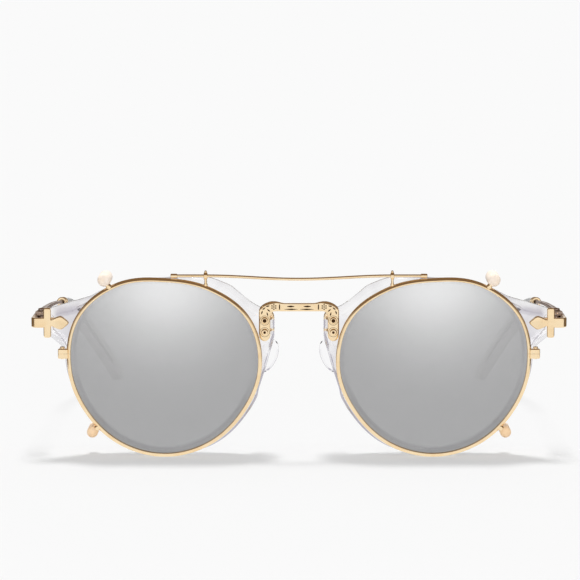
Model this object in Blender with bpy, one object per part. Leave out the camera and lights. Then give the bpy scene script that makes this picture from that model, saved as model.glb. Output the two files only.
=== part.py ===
# Round clear eyeglass frame with a removable mirror clip-on.
# Metres, +Z up. The front faces -Y, the temples run towards +Y, and left is -X.
# Heights are measured from the table that the rims and the temple tips stand on.
# Depths are measured from the front face of the clear rims, backwards.
import math

import bmesh
import bpy
from mathutils import Matrix, Vector
from mathutils.geometry import interpolate_bezier

# Clearances
seat_gap = 0.0003
fit_gap = 0.0001
groove_gap = 0.0002

# Counts
ring_steps = 48
tube_sides = 8
turn_sides = 16

# Lens outline, shared by both layers of the front
lens_pitch = 0.0720
lens_radius = 0.0232
lens_outline_shares = (1.074, 1.134, 1.083, 0.996, 1.030, 1.102, 1.078, 1.017, 1.001, 1.0, 1.001, 1.017)
lens_ring_shares = (0.36, 0.70, 1.0)

# Clip-on rim and its lens
clip_rim_width = 0.00105
clip_rim_depth = 0.0016
clip_standoff = 0.0016
clip_rim_chamfer = 0.00025
clip_lens_bite = 0.0003
clip_lens_edge = 0.0007
clip_lens_sag = 0.0024

# Closing blocks of the clip-on rims, one pair of halves at each outer side
closing_height = 0.00375
closing_slit = 0.0003
closing_half_height = 0.0012
closing_reach = 0.0023
closing_bite = 0.0004
closing_proud = 0.0001
lock_screw_radius = 0.0004
lock_screw_head_radius = 0.00065
lock_screw_head_height = 0.0005

# Brow bar and the two posts that carry it
bar_radius = 0.0004
bar_dip = 0.0009
bar_end_angle = math.radians(94.2)
bar_steps = 24
post_angle = math.radians(116.3)
post_stem_radius = 0.00035
post_eye_radius = 0.00095
post_eye_length = 0.0010
post_ball_radius = 0.00035

# Four wire hooks with soft sleeves
hook_wire_radius = 0.00045
hook_bend_radius = 0.0008
hook_reach_back = 0.0042
sleeve_wall_front = 0.0005
sleeve_wall_end = 0.0009
sleeve_round = 0.0007
upper_hook_angle = math.radians(56)
upper_sleeve_radius = 0.00182
lower_hook_angle = math.radians(-42)
lower_sleeve_radius = 0.0015
sleeve_edge_gap = 0.0004

# Clear eye rims
rim_edge_radius = 0.0238
rim_edge_shares = (1.126, 1.190, 1.076, 1.0, 1.134, 1.220, 1.151, 1.084, 1.062, 1.0, 1.004, 1.038)
rim_depth = 0.0040
rim_chamfer = 0.0006
aperture_radius = 0.0222
optical_lens_bite = 0.0005
optical_lens_edge = 0.0010
optical_lens_sag = 0.0016
groove_depth_position = 0.0022

# Lug at the upper outer corner of each clear rim, from the lens centre outwards and up
lug_reach = 0.0320
lug_top = 0.0153
lug_shoulder_reach = 0.0194
lug_shoulder_top = 0.0189
lug_bottom = 0.0079
lug_armpit_reach = 0.0275
lug_armpit_height = 0.0055
lug_foot_reach = 0.0269
lug_foot_height = 0.0018

# Ear at the nose side of each clear rim, which carries the bridge
ear_reach = 0.0294
ear_crown_reach = 0.0172
ear_crown_height = 0.0222
ear_slope_reach = 0.0215
ear_slope_height = 0.0184
ear_top_reach = 0.0252
ear_top = 0.0158
ear_upper_height = 0.0148
ear_lower_height = 0.0076
ear_waist_reach = 0.0274
ear_waist_height = 0.0003
ear_tail_reach = 0.0248
ear_tail_height = -0.0077

# Nose pads
pad_length = 0.0100
pad_width = 0.0050
pad_depth = 0.0058
pad_splay = 0.0026
pad_lean = math.radians(24)
pad_clearance = 0.00145
pad_inset = 0.0278
pad_depth_shares = (0.0, 0.45, 0.80, 1.0)
pad_size_shares = (0.94, 1.0, 0.82, 0.42)
pad_sides = 16

# Bridge: a flat bar with two legs, screwed to the front of the ears; heights are above the lens centres
bridge_thickness = 0.0010
bridge_bar_bottom = 0.0150
bridge_bar_top = 0.0172
bridge_bar_share = 0.55
bridge_shoulder_top = 0.0177
bridge_peak_share = 0.74
bridge_slope_drop = 0.0006
bridge_corner_drop = 0.0021
bridge_leg_inset = 0.0268
bridge_leg_width = 0.0031
bridge_leg_end = 0.0068
bridge_armpit = 0.0007
bridge_screw_height = 0.01255
bridge_rivet_height = 0.0094
fastener_radius = 0.0006
fastener_head_radius = 0.00095
fastener_head_height = 0.0005
fastener_tail_height = 0.0004

# End-piece plates: lozenge, cross bar and the strap that wraps back to the hinge
plate_thickness = 0.0010
plate_rise = 0.0119
lozenge_length = 0.0049
neck_length = 0.0002
lozenge_half_height = 0.00205
neck_half_height = 0.00095
cross_inset = 0.0006
cross_width = 0.0020
cross_half_height = 0.00405
arm_half_height = 0.00135
strap_reach = 0.0034
strap_corner = 0.0014
plate_pin_radius = 0.0005
plate_pin_head_radius = 0.0009
plate_pin_inset = 0.0003

# Temple hinges
pin_inset = 0.0020
pin_depth = 0.0094
knuckle_radius = 0.0014
knuckle_height = 0.0012
knuckle_gap = 0.00015
hinge_screw_radius = 0.0005
hinge_screw_head_radius = 0.0010
hinge_screw_head_height = 0.0006
hinge_skin = 0.0004
web_inset = 0.0001

# Temple arms, ferrules, tips and their core wires
arm_thickness = 0.0012
arm_front_height = 0.0030
arm_end_height = 0.0016
arm_end_depth = 0.0760
arm_end_inset = 0.0016
arm_fall = 0.0046
arm_arch = 0.0011
arm_steps = 6
ferrule_length = 0.0050
ferrule_radius = 0.00135
ferrule_lip = 0.0003
tip_start_radius = 0.0012
tip_half_height = 0.0030
tip_half_thickness = 0.0016
tip_inwards = 0.0132
tip_end_depth = 0.1295
tip_end_sink = 0.0008
tip_front_handle = 0.0160
tip_back_handle = 0.0250
tip_back_slope = 0.81
tip_back_inset = 0.25
tip_steps = 14
tip_thickening_share = 0.45
tip_end_shares = (0.0, 0.5, 0.80, 0.96)
tip_end_round = 0.0030
core_wire_radius = 0.0005
core_wire_share = 0.84
floor_block = 0.1

# Worked out from the sizes above
lens_x = lens_pitch / 2
clip_rim_back = -clip_standoff
clip_rim_front = clip_rim_back - clip_rim_depth
clip_rim_middle = (clip_rim_back + clip_rim_front) / 2
closing_angle = math.asin(closing_height / (lens_radius * lens_outline_shares[0] + clip_rim_width))
plate_back = -seat_gap
plate_front = plate_back - plate_thickness
bridge_front = -seat_gap - bridge_thickness
bridge_leg_middle = lens_x - bridge_leg_inset
pad_from_middle = lens_x - pad_inset
cross_middle = lens_x + lug_reach - cross_inset
cross_inner = cross_middle - cross_width / 2
cross_outer = cross_middle + cross_width / 2
lozenge_end = cross_inner - neck_length
lozenge_tip = lozenge_end - lozenge_length
strap_outer = cross_outer + strap_reach
pin_from_middle = strap_outer - pin_inset
arm_start_depth = pin_depth + knuckle_radius + fit_gap + knuckle_gap
arm_front_x = strap_outer - arm_thickness / 2
arm_end_from_middle = strap_outer - arm_end_inset
tip_end_from_middle = arm_end_from_middle - tip_inwards
hinge_step = knuckle_height + knuckle_gap

materials = {}
objects = {}


def clear_scene():
    for item in list(bpy.data.objects):
        bpy.data.objects.remove(item)


def make_material(name, color, roughness, metallic, transmission=0.0):
    material = bpy.data.materials.new(name)
    material.use_nodes = True
    shader = material.node_tree.nodes["Principled BSDF"]
    shader.inputs["Base Color"].default_value = (*color, 1.0)
    shader.inputs["Roughness"].default_value = roughness
    shader.inputs["Metallic"].default_value = metallic
    shader.inputs["Transmission Weight"].default_value = transmission
    material.diffuse_color = (*color, 1.0)
    materials[name] = material


def make_materials():
    make_material("polished_gold", (0.90, 0.66, 0.38), 0.16, 1.0)
    make_material("clear_acetate", (0.93, 0.92, 0.95), 0.06, 0.0, 0.9)
    make_material("clear_lens", (0.96, 0.97, 0.97), 0.03, 0.0, 0.95)
    make_material("silver_mirror_lens", (0.72, 0.73, 0.74), 0.05, 0.9)
    make_material("soft_sleeve", (0.97, 0.86, 0.68), 0.45, 0.0, 0.2)
    make_material("core_steel", (0.62, 0.60, 0.58), 0.30, 1.0)


def add_object(name, mesh_data, material, origin=None, cutter=False):
    # The origin is where the object turns; the mesh is kept in its own place around it
    mesh = bpy.data.meshes.new(name)
    mesh_data.to_mesh(mesh)
    mesh_data.free()
    mesh.shade_smooth()
    mesh.set_sharp_from_angle(angle=math.radians(32))
    item = bpy.data.objects.new(name, mesh)
    bpy.context.collection.objects.link(item)
    if origin is not None:
        mesh.transform(Matrix.Translation(-origin))
        item.location = origin
    if cutter:
        item.hide_render = True
        item.display_type = "WIRE"
    else:
        mesh.materials.append(materials[material])
        objects[name] = item
    return item


def loft(loops, ring=False):
    # Joins equal loops of points into one closed body, capped unless the loops form a ring
    shape = bmesh.new()
    rows = [[shape.verts.new(point) for point in loop] for loop in loops]
    pairs = list(zip(rows, rows[1:]))
    if ring:
        pairs.append((rows[-1], rows[0]))
    else:
        shape.faces.new(rows[0])
        shape.faces.new(rows[-1])
    count = len(rows[0])
    for low, high in pairs:
        for i in range(count):
            j = (i + 1) % count
            shape.faces.new((low[i], low[j], high[j], high[i]))
    bmesh.ops.recalc_face_normals(shape, faces=shape.faces[:])
    return shape


def turn(profile, centre, along, sides=turn_sides):
    # A turned body: profile rows are (radius, distance along the axis)
    to_axis = along.to_track_quat("Z", "Y").to_matrix()
    loops = []
    for radius, distance in profile:
        loop = []
        for k in range(sides):
            angle = 2 * math.pi * (k + 0.5) / sides
            spot = Vector((radius * math.cos(angle), radius * math.sin(angle), distance))
            loop.append(centre + to_axis @ spot)
        loops.append(loop)
    return loft(loops)


def sweep(points, sizes, unit_section):
    # Carries a unit section along a route; sizes are (half thickness, half height) at each point
    loops = []
    for i, point in enumerate(points):
        ahead = points[min(i + 1, len(points) - 1)]
        behind = points[max(i - 1, 0)]
        along = (ahead - behind).normalized()
        side = along.cross(Vector((0, 0, 1)))
        side = side.normalized() if side.length > 0.2 else Vector((1, 0, 0))
        up = side.cross(along)
        wide, tall = sizes[i]
        loops.append([point + side * (wide * u) + up * (tall * v) for u, v in unit_section])
    return loft(loops)


def round_section(sides):
    steps = [2 * math.pi * (k + 0.5) / sides for k in range(sides)]
    return [(math.cos(angle), math.sin(angle)) for angle in steps]


def chamfered_section():
    cut_share = 0.55
    quarter = ((1.0, -cut_share), (1.0, cut_share), (cut_share, 1.0), (-cut_share, 1.0))
    return list(quarter) + [(-u, -v) for u, v in quarter]


def block(low, high):
    corners = [(low.x, low.y), (high.x, low.y), (high.x, high.y), (low.x, high.y)]
    return loft([[Vector((x, y, z)) for x, y in corners] for z in (low.z, high.z)])


def combine(item, tool, operation):
    cut = item.modifiers.new(operation.lower(), "BOOLEAN")
    cut.operation = operation
    cut.object = tool
    cut.solver = "EXACT"


def add_tool(item, shape, operation):
    tool = add_object(item.name + "_tool", shape, None, cutter=True)
    combine(item, tool, operation)


def outline_radius(shares, size, angle):
    # Smooth closed curve through equally spaced shares of a size
    count = len(shares)
    position = (angle % (2 * math.pi)) / (2 * math.pi) * count
    k = int(position) % count
    t = position - int(position)
    a, b, c, d = (shares[(k + step) % count] for step in (-1, 0, 1, 2))
    curve = b + 0.5 * t * (c - a + t * (2 * a - 5 * b + 4 * c - d + t * (3 * (b - c) + d - a)))
    return size * curve


def grid_angles():
    return [2 * math.pi * (k + 0.5) / ring_steps for k in range(ring_steps)]


def lens_edge(angle, beyond=0.0):
    return outline_radius(lens_outline_shares, lens_radius, angle) + beyond


# The rims stand on the lowest facet of the clip-on rims
lens_height = -min(lens_edge(angle, clip_rim_width) * math.sin(angle) for angle in grid_angles())
plate_height = lens_height + plate_rise
arm_end_z = plate_height - arm_fall
pad_height = lens_height + bridge_rivet_height - fastener_head_radius - pad_clearance - pad_length / 2


def place(side, angle, radius, depth):
    # A point of the front, from polar places about a lens centre; angle 0 is outwards
    outwards = lens_x + radius * math.cos(angle)
    return Vector((side * outwards, depth, lens_height + radius * math.sin(angle)))


def corner_points(pairs):
    return [(math.atan2(height, reach) % (2 * math.pi), reach, height) for reach, height in pairs]


def lug_corners():
    return corner_points((
        (lug_foot_reach, lug_foot_height),
        (lug_armpit_reach, lug_armpit_height),
        (lug_reach, lug_bottom),
        (lug_reach, lug_top),
        (lug_shoulder_reach, lug_shoulder_top),
    ))


def ear_corners():
    return corner_points((
        (-ear_crown_reach, ear_crown_height),
        (-ear_slope_reach, ear_slope_height),
        (-ear_top_reach, ear_top),
        (-ear_reach, ear_upper_height),
        (-ear_reach, ear_lower_height),
        (-ear_waist_reach, ear_waist_height),
        (-ear_tail_reach, ear_tail_height),
    ))


def polyline_radius(corners, angle):
    # Where a ray from the lens centre meets straight edges between corners, or None
    for (first, px, pz), (last, qx, qz) in zip(corners, corners[1:]):
        if first <= angle <= last:
            across = math.cos(angle) * (qz - pz) - math.sin(angle) * (qx - px)
            return (px * qz - pz * qx) / across
    return None


def rim_edge(angle, inside=0.0):
    for corners in (lug_corners(), ear_corners()):
        straight = polyline_radius(corners, angle)
        if straight is not None:
            return straight - inside
    return outline_radius(rim_edge_shares, rim_edge_radius, angle) - inside


def aperture_edge(angle, beyond=0.0):
    return outline_radius(lens_outline_shares, aperture_radius, angle) + beyond


def eye_rim_angles():
    corners = [row[0] for row in lug_corners() + ear_corners()]
    near = 0.35 * 2 * math.pi / ring_steps
    kept = [a for a in grid_angles() if min(abs(a - corner) for corner in corners) > near]
    return sorted(kept + corners)


def make_eye_rim(side, name):
    groove_half = optical_lens_edge / 2 + groove_gap
    groove_front = groove_depth_position - groove_half
    groove_back = groove_depth_position + groove_half
    groove_beyond = optical_lens_bite + groove_gap
    rows = (
        (rim_edge, rim_chamfer, 0.0),
        (rim_edge, 0.0, rim_chamfer),
        (rim_edge, 0.0, rim_depth - rim_chamfer),
        (rim_edge, rim_chamfer, rim_depth),
        (aperture_edge, 0.0, rim_depth),
        (aperture_edge, 0.0, groove_back),
        (aperture_edge, groove_beyond, groove_back),
        (aperture_edge, groove_beyond, groove_front),
        (aperture_edge, 0.0, groove_front),
        (aperture_edge, 0.0, 0.0),
    )
    angles = eye_rim_angles()
    loops = [[place(side, a, edge(a, offset), depth) for a in angles] for edge, offset, depth in rows]
    rim = add_object(name, loft(loops, ring=True), "clear_acetate")
    hole = ((fastener_radius + fit_gap, -rim_depth), (fastener_radius + fit_gap, 2 * rim_depth))
    for height in (bridge_screw_height, bridge_rivet_height):
        spot = Vector((side * bridge_leg_middle, 0, lens_height + height))
        add_tool(rim, turn(hole, spot, Vector((0, 1, 0)), tube_sides), "DIFFERENCE")
    hole = ((plate_pin_radius + fit_gap, -rim_depth), (plate_pin_radius + fit_gap, 2 * rim_depth))
    for spot in plate_pin_spots(side):
        add_tool(rim, turn(hole, spot, Vector((0, 1, 0)), tube_sides), "DIFFERENCE")


def domed_lens(side, edge, bite, depth, edge_thickness, sag):
    # Two matching domes; the edge lies flat in its groove and the middle stands forwards
    def ring(share, at):
        return [place(side, a, edge(a, bite) * share, at) for a in grid_angles()]

    half = edge_thickness / 2
    front = [ring(share, depth - half - sag * (1 - share * share)) for share in lens_ring_shares]
    back = [ring(share, depth + half - sag * (1 - share * share)) for share in lens_ring_shares]
    return loft(front + back[::-1])


def make_optical_lens(side, name):
    shape = domed_lens(side, aperture_edge, optical_lens_bite, groove_depth_position,
                       optical_lens_edge, optical_lens_sag)
    add_object(name, shape, "clear_lens")


def make_nose_pad(side, name):
    loops = []
    for depth_share, size_share in zip(pad_depth_shares, pad_size_shares):
        middle = pad_from_middle + pad_splay * depth_share
        depth = rim_depth + seat_gap + pad_depth * depth_share
        loop = []
        for u, v in round_section(pad_sides):
            wide = u * pad_width / 2 * size_share
            tall = v * pad_length / 2 * size_share
            x = middle + wide * math.cos(pad_lean) - tall * math.sin(pad_lean)
            z = pad_height + wide * math.sin(pad_lean) + tall * math.cos(pad_lean)
            loop.append(Vector((side * x, depth, z)))
        loops.append(loop)
    add_object(name, loft(loops), "clear_acetate")


def bridge_half_outline():
    # Right half, from the middle of the top edge round the leg to the middle of the bottom edge
    leg_half = bridge_leg_width / 2
    leg_outer = bridge_leg_middle + leg_half
    leg_inner = bridge_leg_middle - leg_half
    peak = bridge_leg_middle * bridge_peak_share
    outline = [
        (leg_inner * bridge_bar_share, bridge_bar_top),
        (peak - leg_half / 2, bridge_shoulder_top),
        (peak + leg_half / 2, bridge_shoulder_top),
        (bridge_leg_middle, bridge_shoulder_top - bridge_slope_drop),
        (leg_outer - bridge_armpit, bridge_shoulder_top - 2 * bridge_slope_drop),
        (leg_outer, bridge_shoulder_top - bridge_corner_drop),
    ]
    arc_steps = 8
    for k in range(arc_steps + 1):
        angle = -math.pi * k / arc_steps
        outline.append((bridge_leg_middle + leg_half * math.cos(angle),
                        bridge_leg_end + leg_half + leg_half * math.sin(angle)))
    outline.append((leg_inner, bridge_bar_bottom - bridge_armpit))
    outline.append((leg_inner - bridge_armpit, bridge_bar_bottom))
    return [(x, lens_height + z) for x, z in outline]


def plate_loops(outline, front, back, side=1):
    return [[Vector((side * x, depth, z)) for x, z in outline] for depth in (front, back)]


def make_bridge():
    right = bridge_half_outline()
    outline = right + [(-x, z) for x, z in reversed(right)]
    bridge = add_object("bridge", loft(plate_loops(outline, bridge_front, -seat_gap)), "polished_gold")
    hole = ((fastener_radius + fit_gap, -rim_depth), (fastener_radius + fit_gap, rim_depth))
    for side in (-1, 1):
        for height in (bridge_screw_height, bridge_rivet_height):
            spot = Vector((side * bridge_leg_middle, 0, lens_height + height))
            add_tool(bridge, turn(hole, spot, Vector((0, 1, 0)), tube_sides), "DIFFERENCE")


def make_bridge_fastener(side, name, height):
    head_back = bridge_front - fit_gap
    tail_front = rim_depth + fit_gap
    profile = (
        (fastener_radius, head_back - fastener_head_height),
        (fastener_head_radius, head_back - fastener_head_height / 2),
        (fastener_head_radius, head_back),
        (fastener_radius, head_back),
        (fastener_radius, tail_front),
        (fastener_head_radius, tail_front),
        (fastener_radius, tail_front + fastener_tail_height),
    )
    spot = Vector((side * bridge_leg_middle, 0, lens_height + height))
    add_object(name, turn(profile, spot, Vector((0, 1, 0)), tube_sides), "polished_gold")


def plate_pin_spots(side):
    lozenge_middle = lozenge_tip + lozenge_length / 2
    neck = cross_inner - plate_pin_inset
    return [Vector((side * x, 0, plate_height)) for x in (lozenge_middle, neck)]


def make_plate_pin(side, name, spot):
    head_front = rim_depth + fit_gap
    profile = (
        (plate_pin_radius, fit_gap),
        (plate_pin_radius, head_front),
        (plate_pin_head_radius, head_front),
        (plate_pin_radius, head_front + fastener_tail_height),
    )
    add_object(name, turn(profile, spot, Vector((0, 1, 0)), tube_sides), "polished_gold")


def end_piece_outline():
    lozenge_middle = lozenge_tip + lozenge_length / 2
    upper = [
        (lozenge_middle, lozenge_half_height),
        (lozenge_end, neck_half_height),
        (cross_inner, neck_half_height),
        (cross_inner, cross_half_height),
        (cross_outer, cross_half_height),
        (cross_outer, arm_half_height),
        (strap_outer - strap_corner, arm_half_height),
    ]
    outline = [(lozenge_tip, 0.0)] + upper + [(x, -z) for x, z in reversed(upper)]
    return [(x, plate_height + z) for x, z in outline]


def knuckle(side, middle):
    half = knuckle_height / 2
    spot = Vector((side * pin_from_middle, pin_depth, middle))
    return turn(((knuckle_radius, -half), (knuckle_radius, half)), spot, Vector((0, 0, 1)))


def side_block(side, inner, outer, front, back, middle, half_height):
    xs = sorted((side * inner, side * outer))
    low = Vector((xs[0], front, middle - half_height))
    high = Vector((xs[1], back, middle + half_height))
    return block(low, high)


def pin_hole(side):
    reach = 2 * hinge_step
    radius = hinge_screw_radius + fit_gap
    spot = Vector((side * pin_from_middle, pin_depth, plate_height))
    return turn(((radius, -reach), (radius, reach)), spot, Vector((0, 0, 1)))


def make_end_piece(side, name):
    plate = loft(plate_loops(end_piece_outline(), plate_front, plate_back, side))
    item = add_object(name, plate, "polished_gold")
    # The strap leaves the plate, turns the corner and runs back to the hinge
    half = plate_thickness / 2
    middle_depth = plate_back - half
    strap_x = strap_outer - half
    start_x = cross_middle
    strap_end = pin_depth - knuckle_radius - fit_gap - knuckle_gap
    corner_steps = 4
    points = [Vector((side * start_x, middle_depth, plate_height))]
    for k in range(corner_steps + 1):
        angle = math.pi / 2 * k / corner_steps
        points.append(Vector((side * (strap_x - strap_corner + strap_corner * math.sin(angle)),
                              middle_depth + strap_corner * (1 - math.cos(angle)), plate_height)))
    points.append(Vector((side * strap_x, strap_end, plate_height)))
    sizes = [(half - web_inset, arm_half_height - web_inset)] * len(points)
    square = [(1, -1), (1, 1), (-1, 1), (-1, -1)]
    add_tool(item, sweep(points, sizes, square), "UNION")
    skin_inner = strap_outer - hinge_skin
    add_tool(item, side_block(side, skin_inner, strap_outer, strap_end - half, pin_depth - knuckle_gap,
                              plate_height, arm_half_height - 2 * web_inset), "UNION")
    for step in (-1, 1):
        middle = plate_height + step * hinge_step
        add_tool(item, side_block(side, pin_from_middle, strap_x, strap_end - half, pin_depth, middle,
                                  knuckle_height / 2 - web_inset), "UNION")
        add_tool(item, knuckle(side, middle), "UNION")
    add_tool(item, pin_hole(side), "DIFFERENCE")


def make_hinge_screw(side, name):
    stack = 1.5 * knuckle_height + knuckle_gap
    head_bottom = stack + fit_gap
    profile = (
        (hinge_screw_radius, -stack),
        (hinge_screw_radius, head_bottom),
        (hinge_screw_head_radius, head_bottom),
        (hinge_screw_head_radius, head_bottom + hinge_screw_head_height / 2),
        (hinge_screw_radius, head_bottom + hinge_screw_head_height),
    )
    spot = Vector((side * pin_from_middle, pin_depth, plate_height))
    add_object(name, turn(profile, spot, Vector((0, 0, 1))), "polished_gold")


def arm_point(side, share):
    # The arm falls a little towards the ferrule and is bowed upwards between its ends
    x = arm_front_x + (arm_end_from_middle - arm_front_x) * share
    depth = arm_start_depth + (arm_end_depth - arm_start_depth) * share
    z = plate_height + (arm_end_z - plate_height) * share + arm_arch * math.sin(math.pi * share)
    return Vector((side * x, depth, z))


def make_temple_arm(side, name, hinge):
    shares = [k / arm_steps for k in range(arm_steps + 1)]
    points = [arm_point(side, share) for share in shares]
    sizes = []
    for share in shares:
        height = arm_front_height + (arm_end_height - arm_front_height) * share
        sizes.append((arm_thickness / 2, height / 2))
    item = add_object(name, sweep(points, sizes, chamfered_section()), "polished_gold", hinge)
    half_height = arm_half_height - 2 * web_inset
    inside = arm_thickness / 2
    add_tool(item, side_block(side, strap_outer - hinge_skin - web_inset, strap_outer - web_inset,
                              pin_depth + knuckle_gap, arm_start_depth + inside, plate_height,
                              half_height - web_inset), "UNION")
    add_tool(item, side_block(side, pin_from_middle, arm_front_x, pin_depth, arm_start_depth + inside,
                              plate_height, knuckle_height / 2 - web_inset), "UNION")
    add_tool(item, knuckle(side, plate_height), "UNION")
    add_tool(item, pin_hole(side), "DIFFERENCE")


def arm_end_direction(side):
    return (arm_point(side, 1.0) - arm_point(side, 1 - 1 / arm_steps)).normalized()


def make_ferrule(side, name, hinge):
    # A sleeve over the end of the arm, with a rolled lip at each end
    along = arm_end_direction(side)
    wall_inside = arm_end_height / 2 + fit_gap + groove_gap
    profile = (
        (wall_inside, 0.0),
        (ferrule_radius, 0.0),
        (ferrule_radius + ferrule_lip, ferrule_lip),
        (ferrule_radius, 2 * ferrule_lip),
        (ferrule_radius, ferrule_length - 2 * ferrule_lip),
        (ferrule_radius + ferrule_lip, ferrule_length - ferrule_lip),
        (ferrule_radius, ferrule_length),
        (wall_inside, ferrule_length),
    )
    start = arm_point(side, 1.0) - along * (ferrule_length / 2)
    to_axis = along.to_track_quat("Z", "Y").to_matrix()
    loops = []
    for radius, distance in profile:
        loops.append([start + to_axis @ Vector((radius * u, radius * v, distance))
                      for u, v in round_section(turn_sides)])
    add_object(name, loft(loops, ring=True), "polished_gold", hinge)


def tip_route(side):
    # From the ferrule the tip carries on along the arm, then bends down and inwards to the table
    along = arm_end_direction(side)
    start = arm_point(side, 1.0) + along * (ferrule_length / 2 + seat_gap)
    end = Vector((side * tip_end_from_middle, tip_end_depth, -tip_end_sink))
    final = Vector((-side * tip_back_inset, 1.0, -tip_back_slope)).normalized()
    return interpolate_bezier(start, start + along * tip_front_handle,
                              end - final * tip_back_handle, end, tip_steps + 1)


def tip_size(share):
    grown = min(share / tip_thickening_share, 1.0)
    grown = grown * grown * (3 - 2 * grown)
    thick = tip_start_radius + (tip_half_thickness - tip_start_radius) * grown
    tall = tip_start_radius + (tip_half_height - tip_start_radius) * grown
    return thick, tall


def core_route(side):
    route = tip_route(side)
    return route[:int(core_wire_share * tip_steps) + 1]


def make_temple_tip(side, name, hinge):
    route = tip_route(side)
    points = []
    sizes = []
    for i, point in enumerate(route[:-1]):
        points.append(point)
        sizes.append(tip_size(i / tip_steps))
    # The far end is rounded off over a few closer sections
    final = (route[-1] - route[-2]).normalized()
    last = route[-1] - final * tip_end_round
    for share in tip_end_shares:
        points.append(last + final * (tip_end_round * share))
        wide, tall = tip_size(1.0)
        narrow = math.sqrt(1 - share * share)
        sizes.append((wide * narrow, tall * narrow))
    item = add_object(name, sweep(points, sizes, round_section(12)), "clear_acetate", hinge)
    bore = core_wire_radius + groove_gap
    wire = core_route(side)
    lead = (wire[0] - wire[1]).normalized() * tip_start_radius
    tail = (wire[-1] - wire[-2]).normalized() * tip_start_radius
    cut_points = [wire[0] + lead] + wire + [wire[-1] + tail]
    cutter = sweep(cut_points, [(bore, bore)] * len(cut_points), round_section(tube_sides))
    add_tool(item, cutter, "DIFFERENCE")
    low = Vector((-floor_block, -floor_block, -floor_block))
    high = Vector((floor_block, 2 * floor_block, 0))
    add_tool(item, block(low, high), "DIFFERENCE")


def make_core_wire(side, name, hinge):
    wire = core_route(side)
    lead = (wire[0] - wire[1]).normalized()
    start = wire[0] + lead * (ferrule_length / 2 - groove_gap)
    points = [start] + wire
    sizes = [(core_wire_radius, core_wire_radius)] * len(points)
    add_object(name, sweep(points, sizes, round_section(tube_sides)), "core_steel", hinge)


def make_clip_rim(side, name):
    groove_half = clip_lens_edge / 2 + groove_gap
    groove_bottom = clip_lens_bite + groove_gap
    section = (
        (0.0, clip_rim_front),
        (clip_rim_width - clip_rim_chamfer, clip_rim_front),
        (clip_rim_width, clip_rim_front + clip_rim_chamfer),
        (clip_rim_width, clip_rim_back - clip_rim_chamfer),
        (clip_rim_width - clip_rim_chamfer, clip_rim_back),
        (0.0, clip_rim_back),
        (0.0, clip_rim_middle + groove_half),
        (groove_bottom, clip_rim_middle + groove_half),
        (groove_bottom, clip_rim_middle - groove_half),
        (0.0, clip_rim_middle - groove_half),
    )
    slit = closing_slit / 2 / (lens_radius + clip_rim_width)
    open_from = closing_angle + slit
    open_to = closing_angle - slit + 2 * math.pi
    angles = [open_from]
    for turn_start in (0, 2 * math.pi):
        angles += [a + turn_start for a in grid_angles() if open_from < a + turn_start < open_to]
    angles.append(open_to)
    loops = [[place(side, a, lens_edge(a, offset), depth) for offset, depth in section] for a in angles]
    item = add_object(name, loft(loops), "polished_gold")
    # Each end of the rim carries half of the closing block
    rim_outer = place(1, closing_angle, lens_edge(closing_angle, clip_rim_width), 0)
    inner = rim_outer.x - closing_bite
    outer = rim_outer.x + closing_reach
    for step in (-1, 1):
        middle = rim_outer.z + step * (closing_slit + closing_half_height) / 2
        add_tool(item, side_block(side, inner, outer, clip_rim_front - closing_proud,
                                  clip_rim_back + closing_proud, middle, closing_half_height / 2), "UNION")
    radius = lock_screw_radius + fit_gap
    reach = 2 * closing_half_height
    add_tool(item, turn(((radius, -reach), (radius, reach)), lock_screw_spot(side), Vector((0, 0, 1)),
                        tube_sides), "DIFFERENCE")


def lock_screw_spot(side):
    spot = place(side, closing_angle, lens_edge(closing_angle, clip_rim_width), clip_rim_middle)
    return spot + Vector((side * closing_reach / 2, 0, 0))


def make_lock_screw(side, name):
    top = closing_slit / 2 + closing_half_height + fit_gap
    profile = (
        (lock_screw_radius, -top),
        (lock_screw_radius, top),
        (lock_screw_head_radius, top),
        (lock_screw_head_radius, top + lock_screw_head_height / 2),
        (lock_screw_radius, top + lock_screw_head_height),
    )
    add_object(name, turn(profile, lock_screw_spot(side), Vector((0, 0, 1)), tube_sides), "polished_gold")


def make_clip_lens(side, name):
    shape = domed_lens(side, lens_edge, clip_lens_bite, clip_rim_middle, clip_lens_edge, clip_lens_sag)
    add_object(name, shape, "silver_mirror_lens")


def bar_end():
    spot = place(1, bar_end_angle, lens_edge(bar_end_angle, clip_rim_width), clip_rim_middle)
    return spot + Vector((0, 0, seat_gap + bar_radius))


def post_foot(side):
    return place(side, post_angle, lens_edge(post_angle, clip_rim_width + seat_gap), clip_rim_middle)


def bar_height(x):
    # Level from each end to the post, then a smooth dip in the middle
    reach = post_foot(1).x
    near = min(abs(x) / reach, 1.0)
    rise = (1 - math.cos(math.pi * near)) / 2
    return bar_end().z - bar_dip * (1 - rise)


def make_brow_bar():
    end = bar_end()
    xs = [end.x * (2 * k / bar_steps - 1) for k in range(bar_steps + 1)]
    points = [Vector((x, end.y, bar_height(x))) for x in xs]
    sizes = [(bar_radius, bar_radius)] * len(points)
    add_object("brow_bar", sweep(points, sizes, round_section(tube_sides)), "polished_gold")


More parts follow.
